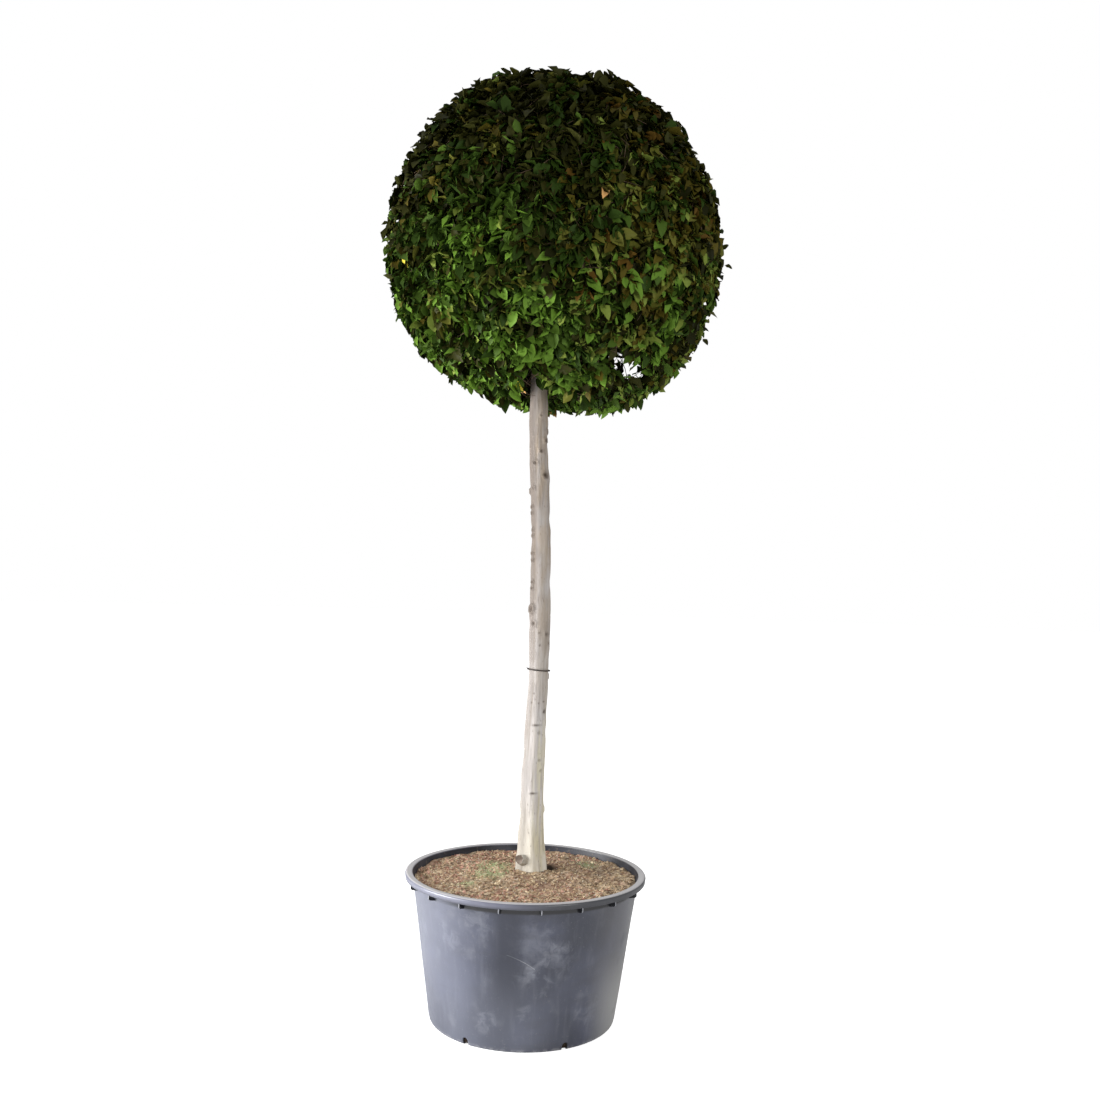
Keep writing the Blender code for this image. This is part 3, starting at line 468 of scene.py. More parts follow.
def curve_through(points, share):
    """A smooth value at a share of the way along (share, value) points."""
    shares = [p[0] for p in points]
    i = max(k for k in range(len(points) - 1) if shares[k] <= share or k == 0)
    before, after = points[max(i - 1, 0)], points[min(i + 2, len(points) - 1)]
    (s0, v0), (s1, v1) = points[i], points[i + 1]
    t = (share - s0) / (s1 - s0)
    slope0 = (v1 - before[1]) / max(s1 - before[0], 1e-9) * (s1 - s0)
    slope1 = (after[1] - v0) / max(after[0] - s0, 1e-9) * (s1 - s0)
    return (
        v0 * (2 * t**3 - 3 * t**2 + 1)
        + slope0 * (t**3 - 2 * t**2 + t)
        + v1 * (3 * t**2 - 2 * t**3)
        + slope1 * (t**3 - t**2)
    )


def from_front(angle):
    """The level unit vector at an angle from the front, growing towards the right."""
    return np.stack((np.sin(angle), -np.cos(angle), np.zeros_like(angle)), axis=-1)


class Nodes:
    """A node tree, and short ways to add nodes to it. Each gives an output socket of the new node."""

    def __init__(self, tree):
        self.tree = tree

    def add(self, kind, feeds=None, out=0, **settings):
        """Adds a node, makes its settings, and feeds its inputs, each from a socket or with a plain value."""
        node = self.tree.nodes.new(kind)
        for key, value in settings.items():
            setattr(node, key, value)
        for socket, value in (feeds or {}).items():
            if isinstance(value, bpy.types.NodeSocket):
                self.tree.links.new(value, node.inputs[socket])
            else:
                node.inputs[socket].default_value = value
        return node.outputs[out]

    def maths(self, operation, *values):
        return self.add("ShaderNodeMath", dict(enumerate(values)), operation=operation)

    def vectors(self, operation, *values, out=0):
        return self.add("ShaderNodeVectorMath", dict(enumerate(values)), out, operation=operation)

    def times(self, first, *others):
        for other in others:
            first = self.maths("MULTIPLY", first, other)
        return first

    def between(self, value, start, end):
        """Grows from 0 at one value to 1 at another, smoothly."""
        feeds = {"Value": value, "From Min": start, "From Max": end}
        return self.add("ShaderNodeMapRange", feeds, interpolation_type="SMOOTHSTEP")

    def result(self, socket):
        """Gives a socket as the tree's only result, and returns the tree."""
        self.tree.links.new(socket, self.tree.nodes.new("NodeGroupOutput").inputs[0])
        return self.tree

    def solid_result(self, instances, finish, raised=None):
        """Gives instances as real geometry with a material, moved up where a height is given."""
        shape = self.add("GeometryNodeRealizeInstances", {"Geometry": instances})
        if raised is not None:
            lift = self.add("ShaderNodeCombineXYZ", {"Z": raised})
            shape = self.add("GeometryNodeSetPosition", {"Geometry": shape, "Offset": lift})
        return self.result(self.add("GeometryNodeSetMaterial", {"Geometry": shape, "Material": finish}))


def node_group(kind, name, inputs, result):
    """A node group with named inputs and a named result, as its nodes and the sockets of its inputs."""
    tree = bpy.data.node_groups.new(name, f"{kind}NodeTree")
    for way, sockets in (("INPUT", inputs), ("OUTPUT", result)):
        for label, socket in sockets.items():
            tree.interface.new_socket(label, in_out=way, socket_type=f"NodeSocket{socket}")
    return Nodes(tree), tree.nodes.new("NodeGroupInput").outputs


def as_modified(item):
    """A plain mesh of an object as its modifiers leave it."""
    graph = bpy.context.evaluated_depsgraph_get()
    return bpy.data.meshes.new_from_object(item.evaluated_get(graph), depsgraph=graph)


def grown(name, host, tree, values):
    """Runs a Geometry Nodes tree on a host and gives the result as a plain mesh object."""
    modifier = host.modifiers.new(tree.name, "NODES")
    modifier.node_group = tree
    for socket in tree.interface.items_tree:
        if socket.in_out == "INPUT" and socket.name in values:
            modifier[socket.identifier] = values[socket.name]
    mesh = as_modified(host)
    mesh.name = name
    host.modifiers.remove(modifier)
    return add_object(name, mesh)


def dress(item, slot, *nodes):
    """Hangs a finished piece on the plant and hides the solids that it stands for; its slot is not used."""
    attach(item, "root")
    if nodes:
        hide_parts(*nodes)


# ---- shader groups, and how materials are laid on


def stretched_grain_group():
    """Noise that can be drawn out along one axis, sharpened to a mask between two levels."""
    inputs = {"Stretch": "Vector", "Detail": "Float", "Low": "Float", "High": "Float"}
    nodes, given = node_group("Shader", "stretched_grain", inputs, {"Mask": "Float"})
    place = nodes.add("ShaderNodeTexCoord", out="Object")
    drawn_out = nodes.vectors("MULTIPLY", place, given["Stretch"])
    feeds = {"Vector": drawn_out, "Detail": given["Detail"], "Scale": 1.0}
    nodes.result(nodes.between(nodes.add("ShaderNodeTexNoise", feeds), given["Low"], given["High"]))


def round_patch_group():
    """A soft round patch at a place on the surface, broken up by noise."""
    inputs = {"Centre": "Vector", "Radius": "Float", "Breakup": "Float"}
    nodes, given = node_group("Shader", "round_patch", inputs, {"Mask": "Float"})
    place = nodes.add("ShaderNodeTexCoord", out="Object")
    away = nodes.vectors("DISTANCE", place, given["Centre"], out="Value")
    feeds = {"Vector": place, "Scale": 26.0, "Detail": 8.0, "Roughness": 0.62, "Distortion": 0.6}
    centred = nodes.maths("SUBTRACT", nodes.add("ShaderNodeTexNoise", feeds), 0.5)
    edge = nodes.maths("ADD", away, nodes.times(centred, given["Breakup"]))
    nodes.result(nodes.between(edge, given["Radius"], 0.0))


class Paint(Nodes):
    """A material in the making: its nodes, its shader, and the colour that its coats have made so far."""

    def __init__(self, name, roughness, specular=0.5):
        self.finish = bpy.data.materials.new(name)
        self.finish.use_nodes = True
        super().__init__(self.finish.node_tree)
        self.shader = self.tree.nodes["Principled BSDF"]
        self.shader.inputs["Roughness"].default_value = roughness
        self.shader.inputs["Specular IOR Level"].default_value = specular

    def place(self):
        return self.add("ShaderNodeTexCoord", out="Object")

    def axes(self):
        """The place on the object as x, y and z."""
        return self.add("ShaderNodeSeparateXYZ", {0: self.place()}).node.outputs

    def stored(self, name):
        """A value that store has kept for each point of the mesh."""
        return self.add("ShaderNodeAttribute", out="Fac", attribute_name=name)

    def grain(self, stretch, detail, low, high):
        feeds = {"Stretch": stretch, "Detail": detail, "Low": low, "High": high}
        return self.add("ShaderNodeGroup", feeds, node_tree=bpy.data.node_groups["stretched_grain"])

    def patch(self, centre, radius, breakup):
        feeds = {"Centre": centre, "Radius": radius, "Breakup": breakup}
        return self.add("ShaderNodeGroup", feeds, node_tree=bpy.data.node_groups["round_patch"])

    def within(self, *spans):
        """The product of smooth steps, each a value, where it is 0 and where it is 1."""
        return self.times(*[self.between(*span) for span in spans])

    def mixed(self, mask, first, second):
        """A colour between two colours, each a socket or a plain colour."""
        first, second = (c if isinstance(c, bpy.types.NodeSocket) else (*c, 1) for c in (first, second))
        return self.add("ShaderNodeMix", {"Factor": mask, 6: first, 7: second}, 2, data_type="RGBA")

    def tones(self, mask, first, second):
        self.colour = self.mixed(mask, first, second)

    def lay(self, *coats):
        """Lays coats over the colour so far, each a mask, how strong it is, and a colour."""
        for mask, strength, colour in coats:
            factor = self.times(mask, strength) if strength < 1 else mask
            self.colour = self.mixed(factor, self.colour, colour)

    def finished(self, height=None, distance=0.0, strength=0.0):
        """The material with its colour and, where a height is given, its relief connected."""
        self.tree.links.new(self.colour, self.shader.inputs["Base Color"])
        if height is not None:
            feeds = {"Height": height, "Distance": distance, "Strength": strength}
            self.tree.links.new(self.add("ShaderNodeBump", feeds), self.shader.inputs["Normal"])
        return self.finish


# ---- materials


def pot_material():
    """Weather-worn grey-blue plastic with dry smears, rain streaks and a long scratch; painted light on its
    left, painted reflections at its right, a painted highlight on the lip's top edge, painted light and shade
    on the lip's face, and painted shade under the lip.
    """
    paint = Paint("pot_plastic", 0.45, 0.75)
    across, _, height = paint.axes()
    smudges = paint.grain((15, 15, 13), 7, 0.52, 0.78)
    paint.tones(paint.grain((5, 5, 4), 4, 0.35, 0.68), (0.032, 0.036, 0.056), (0.062, 0.069, 0.105))
    paint.lay(
        (paint.grain((42, 42, 2.2), 4, 0.50, 0.80), 0.22, (0.190, 0.198, 0.235)),
        (smudges, 0.30, (0.200, 0.206, 0.235)),
        (paint.grain((160, 160, 140), 3, 0.62, 0.80), 0.30, (0.280, 0.270, 0.262)),
    )
    dull = smudges
    for centre, radius, breakup, strength in POT_SMEARS:
        smear = paint.times(paint.patch(centre, radius, breakup), strength)
        paint.lay((smear, 1.0, (0.320, 0.335, 0.385)))
        dull = paint.maths("MAXIMUM", dull, smear)
    under = POT_HEIGHT - LIP_DEPTH
    # The lip's outer face: painted light at the left turning to painted shade at the right, with painted
    # shade towards its lower edge.
    skirt = paint.mixed(paint.between(across, -0.10, 0.14), (0.160, 0.164, 0.218), (0.036, 0.037, 0.042))
    lower = paint.times(paint.between(height, under + 0.011, under), 0.6)
    skirt = paint.mixed(lower, skirt, (0.020, 0.021, 0.026))
    column = paint.within((across, -0.115, -0.060), (across, 0.030, -0.030), (height, 0.080, 0.240))
    # Painted light on the pot's left side, weaker near the foot.
    painted_light_left = paint.add("ShaderNodeMapRange", {"Value": height, "From Max": 0.25, "To Min": 0.5})
    worn = paint.within((height, 0.330, 0.090), (across, -0.290, -0.200), (across, 0.160, 0.000))
    # Painted shade: a near-black band on the wall just under the lip, fading out towards the left.
    under_lip_shade = ((height, under - 0.025, under - 0.017), (height, under, under - 0.001), (across, -0.32, -0.16))
    scuffs = paint.times(paint.between(height, 0.016, 0.004), paint.grain((60, 60, 60), 4, 0.42, 0.62))
    paint.lay(
        (scratch_mask(paint, *SCRATCH), 0.75, (0.420, 0.430, 0.455)),
        (paint.grain((9, 9, 30), 3, 0.48, 0.70), 0.35, (0.045, 0.047, 0.062)),
        (column, 0.75, (0.020, 0.023, 0.038)),
        (paint.times(painted_light_left, paint.between(across, -0.06, -0.36)), 0.42, (0.250, 0.265, 0.335)),
        (worn, 0.16, (0.300, 0.320, 0.390)),
        # Painted reflections of the white surroundings down the right side, stronger low down.
        (paint.between(across, 0.19, 0.36), 0.38, (0.205, 0.198, 0.190)),
        (paint.within((across, 0.21, 0.33), (height, 0.340, 0.100)), 0.60, (0.400, 0.395, 0.380)),
        (paint.between(height, under - 0.001, under + 0.001), 0.80, skirt),
        # Painted highlight along the lip's top edge.
        (paint.between(height, POT_HEIGHT - 0.0030, POT_HEIGHT - 0.0005), 1.0, (0.560, 0.545, 0.555)),
        (paint.within(*under_lip_shade), 0.96, (0.006, 0.006, 0.008)),
        (scuffs, 0.5, (0.300, 0.300, 0.310)),
    )
    roughness = paint.add("ShaderNodeMapRange", {"Value": dull, "To Min": 0.34, "To Max": 0.60})
    paint.tree.links.new(roughness, paint.shader.inputs["Roughness"])
    return paint.finished(paint.grain((210, 210, 210), 3, 0.2, 0.8), 0.0006, 0.20)


def web_material():
    """The plastic of the webs: painted shade on their flat sides, painted light along their edges."""
    paint = Paint("pot_plastic_webs", 0.45)
    outward = paint.vectors("MULTIPLY", paint.place(), (1, 1, 0))
    round_axis = paint.vectors("NORMALIZE", paint.vectors("CROSS_PRODUCT", outward, (0, 0, 1)))
    normal = paint.add("ShaderNodeTexCoord", out="Normal")
    facing = paint.maths("ABSOLUTE", paint.vectors("DOT_PRODUCT", round_axis, normal, out="Value"))
    # Flat sides that face round the pot get painted shade, the edges painted light.
    paint.tones(paint.between(facing, 0.55, 0.85), (0.310, 0.318, 0.350), (0.010, 0.011, 0.015))
    return paint.finished()


def scratch_mask(paint, start, end, sag, width):
    """A thin arc on the front of the pot, between two places given as (x, z)."""
    (x0, z0), (x1, z1) = start, end
    chord = math.hypot(x1 - x0, z1 - z0)
    radius = (chord**2 / 4 + sag**2) / (2 * sag)
    back = (radius - sag) / chord
    middle = ((x0 + x1) / 2, (z0 + z1) / 2)
    centre = (middle[0] + (z1 - z0) * back, 0, middle[1] - (x1 - x0) * back)
    place = paint.place()
    away = paint.vectors("DISTANCE", paint.vectors("MULTIPLY", place, (1, 0, 1)), centre, out="Value")
    line = paint.maths("COMPARE", away, radius, width)
    spot = (middle[0], -wall_radius(middle[1]), middle[1])
    near = paint.vectors("DISTANCE", place, spot, out="Value")
    return paint.times(line, paint.maths("LESS_THAN", near, chord / 2))


def grained_material(name, gloss, grain, tones, flecks, coat, relief):
    """Two tones in a grain, with flecks of a third laid over them that stand in relief."""
    paint = Paint(name, *gloss)
    paint.tones(paint.grain(*grain), *tones)
    mask = paint.grain(*flecks)
    paint.lay((mask, *coat))
    return paint.finished(mask, *relief)


def pot_inside_material():
    """The same plastic, darker inside the pot as painted shade, splashed with dried mix."""
    return grained_material(
        "pot_plastic_inside", (0.50, 0.40), ((12, 12, 30), 5, 0.35, 0.68),
        ((0.018, 0.019, 0.026), (0.042, 0.044, 0.058)),
        ((90, 90, 60), 4, 0.58, 0.70), (0.5, (0.150, 0.115, 0.085)), (0.0008, 0.4),
    )


def crumb_material(name, dark, light):
    """A chip, crumb or tuft: two tones in a fine grain."""
    grain = ((48, 48, 48), 4, 0.35, 0.65)
    fibre = ((420, 420, 420), 2, 0.45, 0.70)
    coat = (0.4, tuple(c * 0.45 for c in dark))
    return grained_material(name, (0.9, 0.25), grain, (dark, light), fibre, coat, (0.0006, 0.4))


def branch_material(name, dark, light):
    """Young bark, ringed and flecked."""
    grain = ((34, 34, 34), 4, 0.35, 0.65)
    flecks = ((300, 300, 300), 2, 0.60, 0.70)
    coat = (0.5, tuple(c * 1.8 for c in light))
    return grained_material(name, (0.78, 0.25), grain, (dark, light), flecks, coat, (0.0005, 0.4))


def mix_material():
    """Damp composted bark between the chips, green where the moss grows, with painted shade in the hollow by
    the trunk and behind the drain holes.
    """
    paint = Paint("potting_mix", 0.95, 0.2)
    specks = paint.grain((260, 260, 260), 3, 0.56, 0.70)
    moss = paint.times(paint.stored("moss"), paint.grain((55, 55, 55), 4, 0.35, 0.60))
    paint.tones(paint.grain((70, 70, 70), 5, 0.36, 0.64), (0.210, 0.146, 0.094), (0.740, 0.575, 0.395))
    paint.lay(
        (paint.grain((13, 13, 13), 4, 0.42, 0.62), 0.5, (0.420, 0.210, 0.150)),
        (specks, 0.7, (0.680, 0.570, 0.430)),
        (moss, 1.0, (0.460, 0.480, 0.270)),
        # Painted shade in the hollow by the trunk and behind the drain holes, and damp spots.
        (paint.stored("shade_and_damp"), 1.0, (0.018, 0.012, 0.008)),
    )
    return paint.finished(specks, 0.002, 0.6)


def bark_material():
    """Smooth pale grey bark with long fibres, weather stains, green streaks and dark scars, with painted
    shade high up, on the left side and in the furrows, and painted light low down.
    """
    paint = Paint("bark", 0.80, 0.25)
    height = paint.axes()["Z"]
    paint.tones(paint.grain((85, 85, 5), 6, 0.34, 0.66), (0.300, 0.270, 0.248), (0.470, 0.440, 0.425))
    tan = paint.times(paint.grain((40, 40, 9), 4, 0.30, 0.62), paint.stored("tan"))
    green = paint.times(paint.stored("lichen"), paint.grain((60, 60, 4), 4, 0.40, 0.62))
    paint.lay(
        (paint.grain((16, 16, 7), 5, 0.42, 0.66), 0.55, (0.540, 0.515, 0.500)),
        (paint.grain((30, 30, 4), 5, 0.52, 0.74), 0.40, (0.260, 0.200, 0.150)),
        # Painted shade, growing towards the top.
        (paint.between(height, 0.90, 2.50), 0.35, (0.270, 0.215, 0.180)),
        # Painted light towards the foot, with a creamier tone low down.
        (paint.between(height, 1.45, 0.75), 0.62, (0.750, 0.722, 0.705)),
        (paint.between(height, 0.82, 0.56), 0.48, (0.900, 0.850, 0.680)),
        # Painted shade on the left side, more so higher up, to hold back the key light.
        (paint.stored("left_side_shade"), 1.0, (0.178, 0.150, 0.130)),
        (tan, 0.56, (0.365, 0.285, 0.200)),
        (green, 0.50, (0.680, 0.630, 0.380)),
        (paint.grain((190, 190, 60), 3, 0.62, 0.74), 0.55, (0.150, 0.115, 0.085)),
        # Painted shade in the furrows.
        (paint.stored("furrow"), 1.0, (0.200, 0.160, 0.120)),
        (paint.stored("stain"), 1.0, (0.060, 0.040, 0.026)),
    )
    return paint.finished(paint.grain((240, 240, 34), 4, 0.25, 0.75), 0.0009, 0.55)


def wire_material():
    """Dark tying wire with spots of rust."""
    paint = Paint("tie_wire", 0.5)
    rust = paint.grain((300, 300, 300), 4, 0.50, 0.64)
    paint.tones(rust, (0.022, 0.021, 0.020), (0.085, 0.045, 0.025))
    return paint.finished(rust, 0.0003, 0.5)


def leaf_materials():
    finishes = []
    for name, colour in LEAF_TINTS.items():
        paint = Paint(name, 0.50, 0.06)
        paint.shader.inputs["Base Color"].default_value = (*colour, 1)
        paint.finish.diffuse_color = (*colour, 1)
        finishes.append(paint.finish)
    return finishes


# ---- pot


def wall_radius(height):
    return POT_FOOT_RADIUS + POT_WALL_SLOPE * height


def arc(centre, radius, start, end, steps):
    """Points of a round corner, as (radius, height), between two angles in degrees."""
    angles = [math.radians(start + (end - start) * i / steps) for i in range(steps + 1)]
    return [(centre[0] + radius * math.cos(a), centre[1] + radius * math.sin(a)) for a in angles]


def pot_profile():
    """The pot's section: the source's, with rounder corners and a bead inside the rim."""
    lip_under = POT_HEIGHT - LIP_DEPTH
    floor_radius = wall_radius(POT_FLOOR) - POT_WALL
    outside = [(0, 0), (POT_FOOT_RADIUS - FOOT_ROUND, 0)]
    outside += arc((POT_FOOT_RADIUS - FOOT_ROUND, FOOT_ROUND), FOOT_ROUND, -60, 0, 8)
    heights = np.linspace(FOOT_ROUND * 2, lip_under - 0.004, 40)
    outside += [(wall_radius(z), z) for z in heights]
    outside += [(wall_radius(lip_under) + 0.001, lip_under - 0.001)]
    outside += [(wall_radius(lip_under) + 0.003, lip_under)]
    lip = [(LIP_RADIUS - 0.005, lip_under)]
    lip += arc((LIP_RADIUS - 0.003, lip_under + 0.0015), 0.0015, -90, 0, 4)
    lip += arc((LIP_RADIUS - LIP_ROUND, POT_HEIGHT - LIP_ROUND), LIP_ROUND, 0, 90, 10)
    bead = (wall_radius(POT_HEIGHT) + 0.002, POT_HEIGHT - 0.004)
    lip += arc(bead, 0.003, 80, 190, 6)
    inside = [(wall_radius(lip_under) - POT_WALL, lip_under)]
    inside += [(wall_radius(z) - POT_WALL, z) for z in np.linspace(lip_under - 0.03, POT_FLOOR + 0.004, 6)]
    inside += [(floor_radius - 0.003, POT_FLOOR), (0, POT_FLOOR)]
    return outside + lip + inside


def smoothed(shape, name, degrees):
    """A mesh from a bmesh, shaded smooth up to an angle."""
    mesh = bpy.data.meshes.new(name)
    bmesh.ops.recalc_face_normals(shape, faces=shape.faces)
    shape.to_mesh(mesh)
    shape.free()
    mesh.shade_smooth()
    mesh.set_sharp_from_angle(angle=math.radians(degrees))
    return mesh


def prism(corners, along, name, rounding=0.0):
    """A closed prism: a flat outline extruded along a vector, with its edges eased."""
    shape = bmesh.new()
    face = shape.faces.new([shape.verts.new(corner) for corner in corners])
    extruded = bmesh.ops.extrude_face_region(shape, geom=[face])["geom"]
    moved = [item for item in extruded if isinstance(item, bmesh.types.BMVert)]
    bmesh.ops.translate(shape, vec=along, verts=moved)
    bmesh.ops.recalc_face_normals(shape, faces=shape.faces)
    if rounding:
        bmesh.ops.bevel(shape, geom=shape.edges[:], offset=rounding, segments=2, affect="EDGES")
    return smoothed(shape, name, 40)


def turned_pot():
    """The pot as a solid of revolution, with its wall waved in and out a little."""
    shape = bmesh.new()
    points = [shape.verts.new((radius, 0, height)) for radius, height in pot_profile()]
    edges = [shape.edges.new(pair) for pair in zip(points, points[1:])]
    turn = {"cent": (0, 0, 0), "axis": (0, 0, 1), "angle": math.tau, "steps": POT_STEPS, "use_merge": True}
    bmesh.ops.spin(shape, geom=points + edges, **turn)
    bmesh.ops.remove_doubles(shape, verts=shape.verts, dist=1e-6)
    places = np.array([vertex.co for vertex in shape.verts])
    waves = layered_noise(places * (4, 4, 3), SEED, 2) * POT_WAVE
    waves *= smooth_step(0.03, 0.12, places[:, 2]) * smooth_step(0.485, 0.42, places[:, 2])
    for vertex, wave in zip(shape.verts, waves):
        flat = Vector((vertex.co.x, vertex.co.y, 0))
        if flat.length > 0.2:
            vertex.co += flat.normalized() * wave
    return smoothed(shape, "pot_wall", 35)


def cut_drains(pot):
    """Cuts the round-headed drain holes out of the foot of the wall."""
    half = DRAIN_WIDTH / 2
    outline = [(-half, -half), (half, -half)]
    outline += arc((0, DRAIN_HEIGHT - half), half, 0, 180, 12)
    corners = [(POT_FOOT_RADIUS - DRAIN_DEPTH, y, z) for y, z in outline]
    cutters = bpy.data.collections.new("drains")
    for i in range(DRAIN_SLOTS):
        cutter = bpy.data.objects.new(f"drain_{i}", prism(corners, (DRAIN_DEPTH * 2, 0, 0), "drain"))
        turn = DRAIN_TURN - math.pi / 2 + math.tau * i / DRAIN_SLOTS
        cutter.data.transform(Matrix.Rotation(turn, 4, "Z"))
        cutters.objects.link(cutter)
    bpy.context.scene.collection.children.link(cutters)
    cut = pot.modifiers.new("cut", "BOOLEAN")
    cut.operation = "DIFFERENCE"
    cut.operand_type = "COLLECTION"
    cut.collection = cutters
    cut.solver = "EXACT"
    mesh = as_modified(pot)
    pot.modifiers.clear()
    pot.data = mesh
    for cutter in list(cutters.objects):
        bpy.data.objects.remove(cutter, do_unlink=True)
    bpy.data.collections.remove(cutters)


def gusset_mesh():
    """A web in the XZ plane, between the wall and the underside of the lip: an upright plate."""
    under = POT_HEIGHT - LIP_DEPTH
    foot = under - GUSSET_DROP
    outline = (
        (wall_radius(under) - GUSSET_SUNK, under + GUSSET_SUNK),
        (LIP_RADIUS - GUSSET_SHORT, under + GUSSET_SUNK),
        (LIP_RADIUS - GUSSET_SHORT, under - GUSSET_END + 0.004),
        (LIP_RADIUS - GUSSET_SHORT - 0.004, under - GUSSET_END),
        (wall_radius(foot) - GUSSET_SUNK / 2, foot),
        (wall_radius(foot) - GUSSET_SUNK, foot),
    )
    corners = [(r, -GUSSET_THICK / 2, z) for r, z in outline]
    return prism(corners, (0, GUSSET_THICK, 0), "gusset", 0.0006)


def webs_tree():
    """Repeats the web that it is given round the pot's axis."""
    inputs = {"Geometry": "Geometry", "Count": "Int", "First Angle": "Float", "Finish": "Material"}
    nodes, given = node_group("Geometry", "webs_round_the_lip", inputs, {"Geometry": "Geometry"})
    step = nodes.maths("DIVIDE", math.tau, given["Count"])
    angle = nodes.maths("MULTIPLY_ADD", nodes.add("GeometryNodeInputIndex"), step, given["First Angle"])
    feeds = {
        "Points": nodes.add("GeometryNodePoints", {"Count": given["Count"]}),
        "Instance": given["Geometry"],
        "Rotation": nodes.add("ShaderNodeCombineXYZ", {"Z": angle}),
    }
    return nodes.solid_result(nodes.add("GeometryNodeInstanceOnPoints", feeds), given["Finish"])


def make_pot():
    mesh = turned_pot()
    mesh.materials.append(pot_material())
    mesh.materials.append(pot_inside_material())
    pot = add_object("pot_wall", mesh)
    cut_drains(pot)
    for face in pot.data.polygons:
        from_axis = math.hypot(face.center.x, face.center.y)
        within = from_axis < wall_radius(face.center.z) - POT_WALL / 2
        face.material_index = int(within and face.center.z > POT_FLOOR / 2)
    dress(pot, "pot_plastic", "pot")
    host = add_object("gusset", gusset_mesh())
    values = {"Count": GUSSETS, "First Angle": GUSSET_TURN - math.pi / 2, "Finish": web_material()}
    webs = grown("pot_webs", host, webs_tree(), values)
    bpy.data.objects.remove(host, do_unlink=True)
    dress(webs, "pot_plastic")


# ---- potting mix


def seat_radius():
    """The flat part of the mix that the trunk's foot stands on."""
    return (TRUNK_RADIUS_FOOT + FLARE) * 1.25


def round_spot(x, y, spot, stretch=1.0):
    """A soft spot, 1 in its middle and 0 outside: x, y and radius, stretched from front to back."""
    spot_x, spot_y, radius = spot
    return np.exp(-((x - spot_x) ** 2 + ((y - spot_y) / stretch) ** 2) / radius**2)


def mix_height(x, y):
    """The source's level of the mix, with crumbs, and a hollow beside the trunk."""
    edge = POT_HEIGHT - MIX_BELOW_RIM
    away = np.hypot(x - TRUNK_FOOT.x, y - TRUNK_FOOT.y)
    slope = np.clip((away - seat_radius()) / (MIX_SLOPE_RADIUS - seat_radius()), 0, 1)
    level = GROUND + (edge - GROUND) * slope * slope * (3 - 2 * slope)
    lumps = np.sin(31 * x + 4 * np.sin(17 * y)) * np.sin(27 * y + 3 * np.sin(23 * x))
    level = level + MIX_RELIEF * lumps * np.minimum(1, slope * 8)
    spots = np.stack((x * 70, y * 70, np.zeros_like(x)), axis=-1)
    crumbs = layered_noise(spots, SEED + 3, 3) * CRUMB_RELIEF
    return level + crumbs - round_spot(x, y, HOLLOW) * HOLLOW_DEPTH


def make_mix_bed(finish):
    """A closed plug of potting mix, whose top is a fine net of rings."""
    low = POT_FLOOR + TOUCH
    edge = POT_HEIGHT - MIX_BELOW_RIM - MIX_RELIEF
    angles = np.arange(MIX_STEPS) * math.tau / MIX_STEPS
    ring = np.stack((np.cos(angles), np.sin(angles), np.zeros(MIX_STEPS)), axis=-1)
    rows = [ring * (wall_radius(z) - POT_WALL - 2 * TOUCH) + (0, 0, z) for z in (low, edge)]
    rim = wall_radius(edge) - POT_WALL - 2 * TOUCH
    for share in np.linspace(1, 0.01, MIX_RINGS):
        row = ring * rim * share + np.array((TRUNK_FOOT.x, TRUNK_FOOT.y, 0)) * (1 - share)
        row[:, 2] = mix_height(row[:, 0], row[:, 1])
        rows.append(row)
    bed = ringed_piece("mix_bed", rows, [finish])
    x, y, height = np.concatenate(rows).T
    moss = np.max([round_spot(x, y, spot) for spot in MOSS_SPOTS], axis=0)
    # The hollow by the trunk gets painted shade and fewer chips.
    shade_and_damp = round_spot(x, y, HOLLOW, 1.5)
    wet = sum(round_spot(x, y, spot) for spot in WET_SPOTS)
    wet = wet * (0.75 + 0.5 * noise_at(np.stack((x, y, 0 * x), axis=-1) * 34, SEED + 9))
    side = np.arange(len(x)) < 2 * MIX_STEPS  # seen through the drain holes, darkened with painted shade
    inside = (np.hypot(x, y) < rim - 0.010) & (height > edge - 0.02)
    beside = np.hypot(x - TRUNK_FOOT.x, y - TRUNK_FOOT.y) > TRUNK_RADIUS_FOOT
    cover = (inside & beside) * np.clip(1 - shade_and_damp * 1.6, 0, 1) * np.clip(1 - wet * 0.6, 0, 1)
    reddish = np.maximum(smooth_step(-0.02, 0.25, y - 0.6 * x), smooth_step(-0.10, -0.25, y) * 0.5)
    store(bed, "moss", moss)
    store(bed, "shade_and_damp", np.maximum(np.clip(shade_and_damp * 1.3 + wet * 0.35, 0, 0.97), 0.95 * side))
    store(bed, "cover", cover * (1 - 0.5 * moss))
    store(bed, "reddish", cover * reddish)
    store(bed, "mossy", cover * smooth_step(0.15, 0.65, moss))
    return bed


